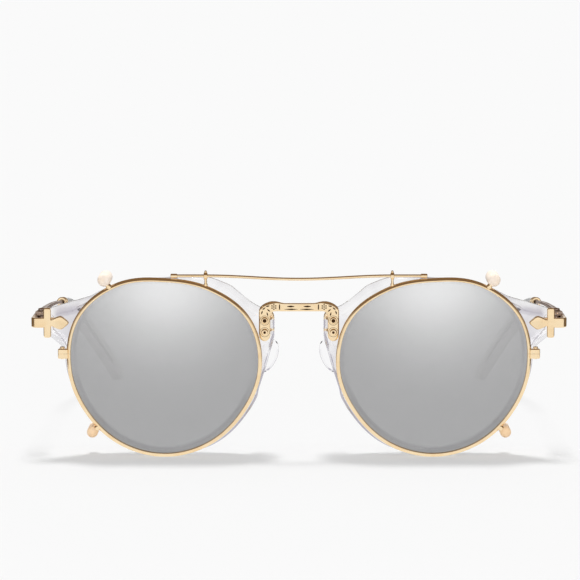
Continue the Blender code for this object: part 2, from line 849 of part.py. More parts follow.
def make_bar_post(side, name):
    foot = post_foot(side)
    eye_z = bar_height(foot.x)
    rise = eye_z - foot.z
    ball = rise + post_eye_radius + post_ball_radius / 2
    profile = (
        (post_stem_radius, 0.0),
        (post_stem_radius, ball - post_ball_radius / 2),
        (post_ball_radius, ball),
        (post_ball_radius, ball + post_ball_radius / 2),
        (post_ball_radius / 2, ball + post_ball_radius),
    )
    item = add_object(name, turn(profile, foot, Vector((0, 0, 1)), tube_sides), "polished_gold")
    eye = Vector((foot.x, foot.y, eye_z))
    half = post_eye_length / 2
    add_tool(item, turn(((post_eye_radius, -half), (post_eye_radius, half)), eye, Vector((1, 0, 0))),
             "UNION")
    bore = bar_radius + groove_gap
    reach = 2 * post_eye_length
    add_tool(item, turn(((bore, -reach), (bore, reach)), eye, Vector((1, 0, 0)), tube_sides),
             "DIFFERENCE")


def sleeve_distance(angle, sleeve_radius):
    # The sleeve stands just outside the clip-on rim and the edge of the clear rim behind it
    clip_side = lens_edge(angle, clip_rim_width + seat_gap)
    return max(rim_edge(angle % (2 * math.pi)) + sleeve_edge_gap, clip_side) + sleeve_radius


def hook_shape(side, angle, sleeve_radius, wire_radius, end_depth):
    # Out from the clip-on rim, round a bend, and straight back past the edge of the clear rim
    reach = sleeve_distance(angle, sleeve_radius)
    start = lens_edge(angle, clip_rim_width + seat_gap)
    bend_steps = 3
    places = [(start, clip_rim_middle)]
    for k in range(bend_steps + 1):
        turned = math.pi / 2 * k / bend_steps
        places.append((reach - hook_bend_radius * (1 - math.sin(turned)),
                       clip_rim_middle + hook_bend_radius * (1 - math.cos(turned))))
    places.append((reach, end_depth))
    loops = []
    for i, (radius, depth) in enumerate(places):
        before = places[max(i - 1, 0)]
        after = places[min(i + 1, len(places) - 1)]
        heading = math.atan2(after[1] - before[1], after[0] - before[0])
        loop = []
        for u, v in round_section(tube_sides):
            in_plane = wire_radius * u
            across = wire_radius * v
            spot = place(side, angle, radius - in_plane * math.sin(heading),
                         depth + in_plane * math.cos(heading))
            tangent = Vector((-side * math.sin(angle), 0, math.cos(angle)))
            loop.append(spot + tangent * across)
        loops.append(loop)
    return loft(loops)


def make_hook(side, name, angle, sleeve_radius):
    wire = hook_shape(side, angle, sleeve_radius, hook_wire_radius, hook_reach_back)
    add_object(name, wire, "polished_gold")


def make_sleeve(side, name, angle, sleeve_radius):
    # A soft cap over the bend and the end of the hook, open only where the wire enters
    bore = hook_wire_radius + groove_gap
    front = clip_rim_middle - bore - sleeve_wall_front
    blind = hook_reach_back + seat_gap
    back = blind + sleeve_wall_end
    profile = (
        (sleeve_radius - sleeve_round, front),
        (sleeve_radius, front + sleeve_round),
        (sleeve_radius, back - sleeve_round),
        (sleeve_radius - sleeve_round, back),
    )
    spot = place(side, angle, sleeve_distance(angle, sleeve_radius), 0)
    sleeve = add_object(name, turn(profile, spot, Vector((0, 1, 0))), "soft_sleeve")
    add_tool(sleeve, hook_shape(side, angle, sleeve_radius, bore, blind), "DIFFERENCE")


def hang_on_hinge(side, side_name):
    # Everything behind the hinge turns with an empty that stands on the hinge screw's axis
    spot = Vector((side * pin_from_middle, pin_depth, plate_height))
    pivot = bpy.data.objects.new(side_name + "_temple_pivot", None)
    bpy.context.collection.objects.link(pivot)
    pivot.location = spot
    make_temple_arm(side, side_name + "_temple_arm", spot)
    make_ferrule(side, side_name + "_ferrule", spot)
    make_temple_tip(side, side_name + "_temple_tip", spot)
    make_core_wire(side, side_name + "_core_wire", spot)
    for piece in ("_temple_arm", "_ferrule", "_temple_tip", "_core_wire"):
        item = objects[side_name + piece]
        item.parent = pivot
        item.location = (0, 0, 0)


def make_front(side, side_name):
    make_eye_rim(side, side_name + "_eye_rim")
    make_optical_lens(side, side_name + "_optical_lens")
    make_nose_pad(side, side_name + "_nose_pad")
    make_bridge_fastener(side, side_name + "_bridge_screw", bridge_screw_height)
    make_bridge_fastener(side, side_name + "_bridge_rivet", bridge_rivet_height)
    make_end_piece(side, side_name + "_end_piece")
    for pin_name, spot in zip(("_lozenge_pin", "_neck_pin"), plate_pin_spots(side)):
        make_plate_pin(side, side_name + pin_name, spot)
    make_hinge_screw(side, side_name + "_hinge_screw")


def make_clip(side, side_name):
    make_clip_rim(side, side_name + "_clip_rim")
    make_clip_lens(side, side_name + "_clip_lens")
    make_lock_screw(side, side_name + "_clip_lock_screw")
    make_bar_post(side, side_name + "_bar_post")
    for level, angle, radius in (("upper", upper_hook_angle, upper_sleeve_radius),
                                 ("lower", lower_hook_angle, lower_sleeve_radius)):
        make_hook(side, f"{side_name}_{level}_hook", angle, radius)
        make_sleeve(side, f"{side_name}_{level}_sleeve", angle, radius)


def centre_on_origin():
    # The origin goes under the middle of the whole part, front to back
    bpy.context.view_layer.update()
    graph = bpy.context.evaluated_depsgraph_get()
    depths = []
    for item in objects.values():
        shown = item.evaluated_get(graph)
        mesh = shown.to_mesh()
        depths += [(shown.matrix_world @ vertex.co).y for vertex in mesh.vertices]
        shown.to_mesh_clear()
    middle = (min(depths) + max(depths)) / 2
    for item in bpy.data.objects:
        if item.parent is None:
            item.location.y -= middle
    print("front face of the clear rims at y", round(-middle, 6))


def main():
    clear_scene()
    make_materials()
    for side, side_name in ((-1, "left"), (1, "right")):
        make_front(side, side_name)
        hang_on_hinge(side, side_name)
        make_clip(side, side_name)
    make_bridge()
    make_brow_bar()
    centre_on_origin()


main()
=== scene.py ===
import math

import bmesh
import bpy
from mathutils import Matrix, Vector
from mathutils.geometry import interpolate_bezier


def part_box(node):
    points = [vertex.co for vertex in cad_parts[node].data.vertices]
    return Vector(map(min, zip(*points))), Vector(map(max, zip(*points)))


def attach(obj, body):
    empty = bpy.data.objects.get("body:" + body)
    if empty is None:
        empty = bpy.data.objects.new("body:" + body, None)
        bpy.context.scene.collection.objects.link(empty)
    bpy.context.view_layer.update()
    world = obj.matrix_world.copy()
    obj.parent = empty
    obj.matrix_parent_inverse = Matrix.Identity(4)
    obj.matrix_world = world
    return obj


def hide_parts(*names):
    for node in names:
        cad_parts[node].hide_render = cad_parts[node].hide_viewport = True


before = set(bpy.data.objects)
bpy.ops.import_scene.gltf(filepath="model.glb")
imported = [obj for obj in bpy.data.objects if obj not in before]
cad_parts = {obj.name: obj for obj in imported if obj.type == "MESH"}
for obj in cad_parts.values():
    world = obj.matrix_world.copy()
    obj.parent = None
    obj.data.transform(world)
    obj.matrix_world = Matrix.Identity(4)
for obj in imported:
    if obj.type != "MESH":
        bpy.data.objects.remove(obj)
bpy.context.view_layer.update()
print("frame loaded:", len(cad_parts), "CAD nodes")

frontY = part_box("left_eye_rim")[0].y  # plane of the clear rims' front face
sides = {"left": -1, "right": 1}
quarter, full = math.pi / 2, 2 * math.pi  # turns
sideways, backwards, upwards = Vector((1, 0, 0)), Vector((0, 1, 0)), Vector((0, 0, 1))


# Wiring for shader and geometry trees

class Wire:
    # One output socket, with arithmetic that adds Math nodes
    def __init__(self, board, socket):
        self.board = board
        self.socket = socket

    def __add__(self, other):
        return self.board.maths("ADD", self, other)

    def __sub__(self, other):
        return self.board.maths("SUBTRACT", self, other)

    def __rsub__(self, other):
        return self.board.maths("SUBTRACT", other, self)

    def __mul__(self, other):
        return self.board.maths("MULTIPLY", self, other)

    def __truediv__(self, other):
        return self.board.maths("DIVIDE", self, other)

    def __rtruediv__(self, other):
        return self.board.maths("DIVIDE", other, self)

    def __pow__(self, other):
        return self.board.maths("POWER", self, other)

    def __rpow__(self, other):
        return self.board.maths("POWER", other, self)

    __radd__, __rmul__ = __add__, __mul__


class Board:
    # A node tree that is filled by calls
    def __init__(self, tree):
        self.tree = tree

    def add(self, kind, settings=None, values=None, out=0):
        node = self.tree.nodes.new(kind)
        for name, setting in (settings or {}).items():
            setattr(node, name, setting)
        self.fill(node, values or {})
        return Wire(self, node.outputs[out]) if node.outputs else None

    def fill(self, node, values):
        for name, value in values.items():
            socket = node.inputs[name]
            if isinstance(value, Wire):
                self.tree.links.new(value.socket, socket)
            else:
                socket.default_value = (*value, 1.0) if socket.type == "RGBA" else value

    def maths(self, operation, first, second=0.0, clamp=False):
        return self.add("ShaderNodeMath", {"operation": operation, "use_clamp": clamp}, {0: first, 1: second})

    def step(self, value, low, high):
        # 0 below low, 1 above high, smooth between
        return self.add("ShaderNodeMapRange", {"interpolation_type": "SMOOTHSTEP"},
                        {"Value": value, "From Min": low, "From Max": high})

    def mixColor(self, share, first, second):
        return self.add("ShaderNodeMix", {"data_type": "RGBA"}, {0: share, 6: first, 7: second}, out=2)

    def place(self, axis=None):
        # Object coordinates, or one of them
        place = self.add("ShaderNodeTexCoord", out="Object")
        return place if axis is None else self.add("ShaderNodeSeparateXYZ", None, {0: place}, out=axis)

    def noise(self, scale, detail=3.0):
        return self.add("ShaderNodeTexNoise", None, {"Vector": self.place(), "Scale": scale, "Detail": detail})

    def attribute(self, name):
        return self.add("ShaderNodeAttribute", {"attribute_name": name}, out="Fac")

    def bump(self, height, strength, distance):
        return self.add("ShaderNodeBump", None, {"Height": height, "Strength": strength, "Distance": distance})

    def ray(self, kind):
        return self.add("ShaderNodeLightPath", out=f"Is {kind} Ray")


class Finish(Board):
    # A material's nodes; constants go on the shader's own sockets
    def __init__(self, name, color, roughness, metallic=0.0, others=None):
        self.material = bpy.data.materials.new(name)
        self.material.use_nodes = True
        super().__init__(self.material.node_tree)
        self.cover({"Base Color": color, "Roughness": roughness, "Metallic": metallic, **(others or {})})

    def cover(self, values):
        self.fill(self.tree.nodes["Principled BSDF"], values)
        return self.material


# Materials

# The groove colours fill engravings and also serve as painted shade
goldLook = {"pale": (0.972, 0.775, 0.505), "deep": (0.92, 0.64, 0.34), "groove": (0.055, 0.026, 0.010),
            "polish": 0.13, "wornPolish": 0.24, "dull": (0.60, 0.49, 0.425), "dullPolish": 0.42}
agedLook = {"pale": (0.56, 0.455, 0.405), "deep": (0.45, 0.36, 0.315), "groove": (0.15, 0.108, 0.095),
            "polish": 0.36, "wornPolish": 0.48, "dull": (0.56, 0.455, 0.405), "dullPolish": 0.48}
metalGrain = {"cloud": 260.0, "fine": 2600.0, "deepRange": (0.35, 0.75), "deepShare": 0.5, "fineShare": 0.4,
              "wornRange": (0.5, 0.95), "grooveRange": (0.2, 0.8), "bump": (0.05, 0.00002)}


def makeMetal(name, look):
    # One attribute darkens what is engraved and also carries painted shade in screw slots, sockets, shanks and
    # on the end-piece lozenges; dull takes the polish off
    metal = Finish(name, look["pale"], look["polish"], 1.0)
    cloud, fine = metal.noise(metalGrain["cloud"]), metal.noise(metalGrain["fine"])
    deep = metal.step(cloud, *metalGrain["deepRange"]) * metalGrain["deepShare"]
    color = metal.mixColor(deep, look["pale"], look["deep"])
    groove = metal.step(metal.attribute("groove"), *metalGrain["grooveRange"])
    color = metal.mixColor(groove, color, look["groove"])
    socketAndShankShade = metal.step(cloud + fine * metalGrain["fineShare"], *metalGrain["wornRange"])
    rough = look["polish"] + (look["wornPolish"] - look["polish"]) * socketAndShankShade
    dull = metal.attribute("dull")
    return metal.cover({"Base Color": metal.mixColor(dull, color, look["dull"]),
                        "Roughness": rough * (1 - dull) + dull * look["dullPolish"],
                        "Normal": metal.bump(fine, *metalGrain["bump"])})


# The darker colours here are partly real tint and partly painted shade
acetateLook = {"color": (0.985, 0.982, 0.988), "thickTintAndShade": (0.54, 0.515, 0.57), "tipColor": (0.935, 0.875, 0.82),
               "tipTintAndShade": (0.68, 0.65, 0.655), "bending": 1.48, "padBending": 1.045, "wave": 160.0,
               "scuff": 1900.0, "tintAndShadeShare": 0.8, "waveShare": 1.2, "polish": 0.015, "scuffed": 0.04,
               "scuffRange": (0.55, 0.8), "bump": (0.08, 0.0002)}
lugFold = {"across": 0.02875, "height": 0.0139, "slope": 0.21, "width": 0.0007, "from": 0.0215, "to": 0.0305,
           "fade": 0.002}


def foldShade(board):
    # 1 along a grey fold of light in each lug, above the lozenge
    across = board.maths("ABSOLUTE", board.place(0)) - lensX
    middle = lensZ + lugFold["height"] + (lugFold["across"] - across) * lugFold["slope"]
    rise = (board.place(2) - middle) / lugFold["width"]
    near = board.step(across, lugFold["from"], lugFold["from"] + lugFold["fade"])
    far = board.step(across, lugFold["to"] - lugFold["fade"], lugFold["to"])
    return math.e ** (0 - rise * rise) * near * (1 - far)


def makeAcetate(name, thin, deep, bend):
    # Lilac clear plastic, deeper in colour where the body is thick, partly real tint and partly painted shade,
    # with a painted grey fold of shade in each lug
    look = acetateLook
    color, thickTintAndShadeColor, bending = look[thin], look[deep], look[bend]
    plastic = Finish(name, color, 0.03, 0.0, {"Transmission Weight": 1.0, "IOR": bending})
    wave = plastic.noise(look["wave"], 2.0)
    thickTintAndShade = plastic.attribute("thickTintAndShade") * look["tintAndShadeShare"] + foldShade(plastic)
    thickTintAndShade = plastic.maths("ADD", thickTintAndShade, (wave - 0.5) * look["waveShare"], True)
    scuff = plastic.step(plastic.noise(look["scuff"]), *look["scuffRange"])
    return plastic.cover({"Base Color": plastic.mixColor(thickTintAndShade, color, thickTintAndShadeColor),
                          "Roughness": look["polish"] + look["scuffed"] * scuff,
                          "Normal": plastic.bump(wave, *look["bump"])})


def makeClearLens():
    glass = Finish("clearLens", (0.985, 0.99, 0.99), 0.01, 0.0, {"Transmission Weight": 1.0, "IOR": 1.5})
    return glass.cover({"Roughness": 0.006 + 0.02 * glass.step(glass.noise(900.0), 0.6, 0.85)})


# bright is a painted highlight and edgeShade a painted shade
mirrorLook = {"bright": (0.828, 0.830, 0.834), "plain": (0.395, 0.396, 0.400), "behind": (0.05, 0.05, 0.053),
              "cover": 0.80, "coverBehind": 0.5, "spreadX": 0.0185, "spreadZ": 0.0166, "topGap": 0.0025,
              "edgeShade": 0.84, "edgeRange": (0.90, 0.94), "edgeFrom": 0.25, "edgeTo": 0.55,
              "smear": 120.0, "smearRange": (0.45, 0.8), "polish": 0.045, "smeared": 0.05}


def makeMirror(name, look):
    # Painted reflection: brightest at the top of each lens as a painted highlight, painted shade in a band
    # along the lower edge, smoked grey from behind
    glass = Finish(name, look["plain"], 0.05, 1.0, {"Coat Weight": 0.3})
    top = 2 * lensZ - look["topGap"]
    across = (glass.maths("ABSOLUTE", glass.place(0)) - lensX) / look["spreadX"]
    height = glass.place(2)
    drop = (top - height) / look["spreadZ"]
    # painted highlight: a soft bright patch near the top of each lens stands in for a reflected light
    color = glass.mixColor(math.e ** (0 - (across * across + drop * drop)), look["plain"], look["bright"])
    low = 1 - glass.step(height, top * look["edgeFrom"], top * look["edgeTo"])
    band = glass.step(glass.attribute("edge"), *look["edgeRange"]) * low
    color = glass.mixColor(band, color, [channel * look["edgeShade"] for channel in look["plain"]])
    behind = glass.attribute("behind")
    smear = glass.step(glass.noise(look["smear"], 4.0), *look["smearRange"])
    return glass.cover({"Base Color": glass.mixColor(behind, color, look["behind"]), "Metallic": 1 - behind,
                        "Roughness": look["polish"] + look["smeared"] * smear,
                        "Alpha": look["cover"] + behind * (look["coverBehind"] - look["cover"])})


# the glow colours are a painted glow of light inside the rubber
sleeveLook = {"color": (0.985, 0.90, 0.79), "warm": (0.97, 0.76, 0.53), "glow": (0.72, 0.62, 0.60),
              "warmPaintedGlow": (1.0, 0.66, 0.28), "paintedGlowStrength": 0.19, "warmHeights": (0.008, 0.04),
              "cloud": 420.0, "cloudRange": (0.3, 0.8), "cloudShare": 0.35, "bump": (0.1, 0.0001)}


def makeSleeveMaterial(name, look):
    # Peach at the lower hooks, paler at the upper ones; the emission is a painted glow standing in for light
    # inside the soft rubber
    rubber = Finish(name, (0.96, 0.87, 0.76), 0.38, 0.0, {"Transmission Weight": 0.12, "IOR": 1.41,
                                                          "Emission Strength": look["paintedGlowStrength"]})
    cloud = rubber.noise(look["cloud"])
    low = 1 - rubber.step(rubber.place(2), *look["warmHeights"])
    patchy = look["cloudShare"] * rubber.step(cloud, *look["cloudRange"])
    warm = rubber.maths("ADD", 0.8 * low, patchy, True)
    return rubber.cover({"Base Color": rubber.mixColor(warm, look["color"], look["warm"]),
                         "Emission Color": rubber.mixColor(warm, look["glow"], look["warmPaintedGlow"]),
                         "Roughness": 0.32 + 0.14 * cloud, "Normal": rubber.bump(cloud, *look["bump"])})


def makeSteel():
    steel = Finish("coreSteel", (0.62, 0.60, 0.58), 0.28, 1.0)
    return steel.cover({"Roughness": 0.2 + 0.2 * steel.noise(1500.0)})


# Shape tools

def clamp(value):
    return min(max(value, 0.0), 1.0)


def ease(value):
    return clamp(value) ** 2 * (3 - 2 * clamp(value))


def arc(steps, start=0.0, turn=quarter):
    # (cosine, sine) at even steps along an arc, both ends included
    return [(math.cos(start + turn * k / steps), math.sin(start + turn * k / steps)) for k in range(steps + 1)]


def pick(sizes, names):
    return [sizes[name] for name in names.split()]


def newObject(name, data):
    item = bpy.data.objects.new(name, data)
    bpy.context.scene.collection.objects.link(item)
    return item


def meshObject(name, points, edges=(), faces=()):
    mesh = bpy.data.meshes.new(name)
    mesh.from_pydata([tuple(point) for point in points], edges, faces)
    return newObject(name, mesh)


def smooth(item, angle):
    item.data.shade_smooth()
    item.data.set_sharp_from_angle(angle=math.radians(angle))


def loftLoops(name, loops, ring=False, sharp=40):
    # Equal closed loops of points, joined in a row and capped, or joined into a ring
    cols = len(loops[0])
    points = [point for loop in loops for point in loop]
    faces = []
    for i in range(len(loops) if ring else len(loops) - 1):
        low, high = i * cols, (i + 1) % len(loops) * cols
        faces += [(low + k, low + (k + 1) % cols, high + (k + 1) % cols, high + k) for k in range(cols)]
    if not ring:
        faces += [tuple(range(cols)), tuple(range(len(points) - cols, len(points)))]
    item = meshObject(name, points, faces=faces)
    work = bmesh.new()
    work.from_mesh(item.data)
    bmesh.ops.remove_doubles(work, verts=work.verts[:], dist=1e-7)
    bmesh.ops.recalc_face_normals(work, faces=work.faces[:])
    work.to_mesh(item.data)
    work.free()
    smooth(item, sharp)
    return item


def lathe(name, profile, centre, along, count=40, ring=False):
    # Profile rows are (radius, distance along the axis)
    turn = along.to_track_quat("Z", "Y").to_matrix()
    loops = [[centre + turn @ Vector((radius * c, radius * s, distance)) for c, s in arc(count, turn=full)[:-1]]
             for radius, distance in profile]
    return loftLoops(name, loops, ring)


def roundedRod(radius, start, end, corner, flat=None, steps=4):
    # Profile of a rod from start to end with rounded rims; flat is the radius of its end faces
    flat = flat or radius * 0.02
    middle = radius - corner
    return ([(flat, start)] + [(middle + corner * s, start + corner - corner * c) for c, s in arc(steps)]
            + [(middle + corner * c, end - corner + corner * s) for c, s in arc(steps)] + [(flat, end)])


def roundedCorners(half, tall, corner, steps):
    # The four corners of a rounded rectangle, each a list of (across, up)
    return [[(signU * (half - corner) + corner * c, signV * (tall - corner) + corner * s)
             for c, s in arc(steps, start * quarter)]
            for start, (signU, signV) in enumerate(((1, 1), (-1, 1), (-1, -1), (1, -1)))]


def block(name, first, last):
    # A box between two opposite corners
    corners = ((first.x, first.y), (last.x, first.y), (last.x, last.y), (first.x, last.y))
    return loftLoops(name, [[(x, y, z) for x, y in corners] for z in (first.z, last.z)])


def applyModifiers(item):
    bpy.context.view_layer.update()
    graph = bpy.context.evaluated_depsgraph_get()
    mesh = bpy.data.meshes.new_from_object(item.evaluated_get(graph))
    item.modifiers.clear()
    item.data = mesh


def weld(body, tool, operation="UNION"):
    # Applies a Boolean and removes the tool
    change = body.modifiers.new("change", "BOOLEAN")
    change.operation = operation
    change.solver = "EXACT"
    change.object = tool
    applyModifiers(body)
    bpy.data.objects.remove(tool)


def cut(body, tool):
    weld(body, tool, "DIFFERENCE")


def mark(item, name, value):
    # Stores a number from 0 to 1 at each point, which the material reads
    layer = item.data.attributes.new(name, "FLOAT", "POINT")
    for i, vertex in enumerate(item.data.vertices):
        layer.data[i].value = value(vertex.co)


def dress(item, body, material, node=None, sharp=None):
    if sharp:
        smooth(item, sharp)
    item.data.materials.clear()
    item.data.materials.append(material)
    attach(item, body)
    if node:
        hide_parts(node)


# Geometry trees

def newTree(name, inputs):
    # A geometry tree with named inputs; returns its board and the inputs' wires
    tree = bpy.data.node_groups.new(name, "GeometryNodeTree")
    tree.interface.new_socket(name="Geometry", in_out="OUTPUT", socket_type="NodeSocketGeometry")
    for label, kind in {"Geometry": "Geometry", **inputs, "material": "Material"}.items():
        tree.interface.new_socket(name=label, in_out="INPUT", socket_type="NodeSocket" + kind)
    board = Board(tree)
    entry = board.add("NodeGroupInput").socket.node
    return board, {socket.name: Wire(board, socket) for socket in entry.outputs}


def endTree(board, wires, geometry):
    solid = board.add("GeometryNodeRealizeInstances", None, {"Geometry": geometry})
    coloured = board.add("GeometryNodeSetMaterial", None, {"Geometry": solid, "Material": wires["material"]})
    board.add("NodeGroupOutput", None, {0: coloured})
    return board.tree


def wireTree():
    # A round wire along a path, with closed ends
    board, wires = newTree("roundWire", {"radius": "Float", "sides": "Int", "spacing": "Float"})
    curve = board.add("GeometryNodeMeshToCurve", None, {"Mesh": wires["Geometry"]})
    even = board.add("GeometryNodeResampleCurve", {"mode": "LENGTH"},
                     {"Curve": curve, "Length": wires["spacing"]})
    ring = board.add("GeometryNodeCurvePrimitiveCircle", {"mode": "RADIUS"},
                     {"Resolution": wires["sides"], "Radius": wires["radius"]})
    tube = board.add("GeometryNodeCurveToMesh", None, {"Curve": even, "Profile Curve": ring, "Fill Caps": True})
    return endTree(board, wires, board.add("GeometryNodeSetShadeSmooth", None, {"Geometry": tube}))


def beadTree():
    # Small copies of one shape, a set distance apart along a path
    board, wires = newTree("beadRow", {"pitch": "Float", "size": "Float", "bead": "Object", "seed": "Int",
                                       "spread": "Float"})
    curve = board.add("GeometryNodeMeshToCurve", None, {"Mesh": wires["Geometry"]})
    points = board.add("GeometryNodeCurveToPoints", {"mode": "LENGTH"},
                       {"Curve": curve, "Length": wires["pitch"]})
    turn = Wire(board, points.socket.node.outputs["Rotation"])
    bead = board.add("GeometryNodeObjectInfo", None, {"Object": wires["bead"]}, out="Geometry")
    jitter = board.add("FunctionNodeRandomValue", {"data_type": "FLOAT"},
                       {2: 1 - wires["spread"], 3: 1 + wires["spread"], "Seed": wires["seed"]}, out=1)
    return endTree(board, wires, board.add("GeometryNodeInstanceOnPoints", None, {
        "Points": points, "Instance": bead, "Rotation": turn, "Scale": wires["size"] * jitter}))


def stampTree():
    # One shape at each vertex of the input
    board, wires = newTree("stampAtPoints", {"shape": "Object"})
    shape = board.add("GeometryNodeObjectInfo", None, {"Object": wires["shape"]}, out="Geometry")
    return endTree(board, wires, board.add("GeometryNodeInstanceOnPoints", None,
                                           {"Points": wires["Geometry"], "Instance": shape}))


def grow(name, points, tree, values, chain=True):
    # Runs a geometry tree over a chain of points, or loose points, and keeps the mesh
    item = meshObject(name, points, [(i, i + 1) for i in range(len(points) - 1)] if chain else [])
    modifier = item.modifiers.new("grow", "NODES")
    modifier.node_group = tree
    for socket in tree.interface.items_tree:
        if socket.name in values:
            modifier[socket.identifier] = values[socket.name]
    applyModifiers(item)
    return item


roundWire, beadRow, stampAtPoints = wireTree(), beadTree(), stampTree()


def bendWire(name, points, sizes, material):
    return grow(name, points, roundWire, {"radius": sizes["radius"], "sides": sizes["sides"],
                                          "spacing": sizes["spacing"], "material": material})


# Outlines, lists of (across, up); polar ones run about a lens centre, with angle 0 outwards

lensShape = {"pitch": 0.0720, "radius": 0.0232, "aperture": 0.0222,
             "shares": (1.074, 1.134, 1.083, 0.996, 1.030, 1.102, 1.078, 1.017, 1.001, 1.0, 1.001, 1.017)}
lensX = lensShape["pitch"] / 2


def sharesRadius(shares, size, angle):
    # Smooth closed curve through equally spaced shares of a size
    count = len(shares)
    position = angle % full / full * count
    k = int(position) % count
    t = position - int(position)
    a, b, c, d = (shares[(k + step) % count] for step in (-1, 0, 1, 2))
    return size * (b + 0.5 * t * (c - a + t * (2 * a - 5 * b + 4 * c - d + t * (3 * (b - c) + d - a))))


def lensEdge(angle):
    return sharesRadius(lensShape["shares"], lensShape["radius"], angle)


def apertureEdge(angle):
    return sharesRadius(lensShape["shares"], lensShape["aperture"], angle)


def turnAngles(count):
    return [full * (k + 0.5) / count for k in range(count)]


def polarOutline(edge, count):
    return [(edge(a) * math.cos(a), edge(a) * math.sin(a)) for a in turnAngles(count)]


def edges(points):
    return zip(points, points[1:] + points[:1])


def neighbours(points):
    return zip(points[-1:] + points[:-1], points, points[1:] + points[:1])


def outlineNormals(points):
    # Outward normals of a closed outline that runs anticlockwise
    normals = []
    for (ax, az), point, (bx, bz) in neighbours(points):
        length = math.hypot(bx - ax, bz - az)
        normals.append(((bz - az) / length, (ax - bx) / length))
    return normals


def soften(points, passes):
    for _ in range(passes):
        points = [((ax + 2 * bx + cx) / 4, (az + 2 * bz + cz) / 4)
                  for (ax, az), (bx, bz), (cx, cz) in neighbours(points)]
    return points


def edgeSteps(points, pitch, least):
    return [max(least, round(math.dist(a, b) / pitch)) for a, b in edges(points)]


def fillEdges(points, counts, passes):
    # Even steps along each edge, then soft corners
    return soften([(ax + (bx - ax) * k / count, az + (bz - az) * k / count)
                   for ((ax, az), (bx, bz)), count in zip(edges(points), counts) for k in range(count)], passes)


def flatSpot(side, across, height, depth):
    return Vector((side * across, frontY + depth, height))


def spot(side, angle, radius, depth):
    return flatSpot(side, lensX + radius * math.cos(angle), lensZ + radius * math.sin(angle), depth)


# Clip-on

clipRim = {"width": 0.00105, "depth": 0.0016, "standoff": 0.0016, "corner": 0.00022, "bevel": 0.00042,
           "ridge": 0.00030, "grooveHalf": 0.00037, "grooveDepth": 0.0004, "steps": 300,
           "closingHeight": 0.00375, "slit": 0.00006, "halfHeight": 0.00131, "reach": 0.0023, "bite": 0.0004,
           "proud": 0.0001, "blockRound": 0.0003}
clipBack = -clipRim["standoff"]
clipFront = clipBack - clipRim["depth"]
clipMiddle = (clipBack + clipFront) / 2
cadSteps = 48  # the rims stand on the lowest facet of the CAD outline
lensZ = -min((lensEdge(a) + clipRim["width"]) * math.sin(a) for a in turnAngles(cadSteps))


def rimSpot(angle, gap=0.0):
    # At the outer edge of the right clip-on rim, or a gap away from it
    return spot(1, angle, lensEdge(angle) + clipRim["width"] + gap, clipMiddle)


def makeClipRim(side, sideName):
    base = polarOutline(lensEdge, clipRim["steps"])
    width, corner, bevel, ridge, half, sunk = pick(clipRim, "width corner bevel ridge grooveHalf grooveDepth")
    section = [(corner * (1 - c), clipFront + corner * (1 - s)) for c, s in arc(4)]  # round on to the ridge
    for share in (0.2, 0.4, 0.6, 0.8, 1.0):  # the front slopes away outwards, a little domed
        section.append((ridge + (width - corner * 0.4 - ridge) * share,
                        clipFront + bevel * share * (0.75 + 0.25 * share)))
    section.append((width, clipFront + bevel + corner * 0.9))
    for start, middle in ((0.0, width - corner), (quarter, corner)):
        section += [(middle + corner * c, clipBack - corner + corner * s) for c, s in arc(4, start)]
    section += [(0.0, clipMiddle + half), (sunk, clipMiddle + half * 0.7), (sunk, clipMiddle - half * 0.7),
                (0.0, clipMiddle - half)]
    loops = [[flatSpot(side, lensX + x + u * nx, lensZ + z + u * nz, depth) for u, depth in section]
             for (x, z), (nx, nz) in zip(base, outlineNormals(base))]
    rim = loftLoops(sideName + "ClipRim", loops, ring=True)
    edge = rimSpot(math.asin(clipRim["closingHeight"] / (lensEdge(0) + width)))
    reach, bite, proud, slit = pick(clipRim, "reach bite proud slit")
    tall = clipRim["halfHeight"] + slit / 2
    closing = block("closing", flatSpot(side, edge.x - bite, edge.z - tall, clipFront - proud),
                    flatSpot(side, edge.x + reach, edge.z + tall, clipBack + proud))
    rounding = closing.modifiers.new("rounding", "BEVEL")
    rounding.width = clipRim["blockRound"]
    rounding.segments = 3
    rounding.limit_method = "ANGLE"
    applyModifiers(closing)
    weld(rim, closing)
    cut(rim, block("slit", flatSpot(side, edge.x - 3 * width, edge.z - slit / 2, clipFront - width),
                   flatSpot(side, edge.x + 2 * reach, edge.z + slit / 2, clipBack + width)))
    dress(rim, "clip_on", gold, sideName + "_clip_rim", 50)


clipLens = {"bite": 0.0003, "edge": 0.0007, "sag": 0.0021, "rings": 22, "steps": 192}


def makeDome(name, side, edge, sizes, depth):
    # Front and back domes of a lens, with its edge flat in the groove
    bite, half, sag = sizes["bite"], sizes["edge"] / 2, sizes["sag"]
    shares = [(k + 1) / sizes["rings"] for k in range(sizes["rings"])]
    loops = [[spot(side, a, (edge(a) + bite) * share, depth + sign * half - sag * (1 - share * share))
              for a in turnAngles(sizes["steps"])]
             for sign, order in ((-1, shares), (1, shares[::-1])) for share in order]
    lens = loftLoops(name, loops, sharp=50)

    def share(point):
        across, up = side * point.x - lensX, point.z - lensZ
        return math.hypot(across, up) / (edge(math.atan2(up, across)) + bite)

    mark(lens, "edge", share)
    mark(lens, "behind", lambda p: float(p.y > frontY + depth - sag * (1 - share(p) ** 2)))
    return lens


def makeClipLens(side, sideName):
    lens = makeDome(sideName + "MirrorLens", side, lensEdge, clipLens, clipMiddle)
    dress(lens, "clip_on", mirror, sideName + "_clip_lens")


lockScrew = {"radius": 0.0004, "head": 0.00065, "headHeight": 0.0005, "slot": 0.00018}


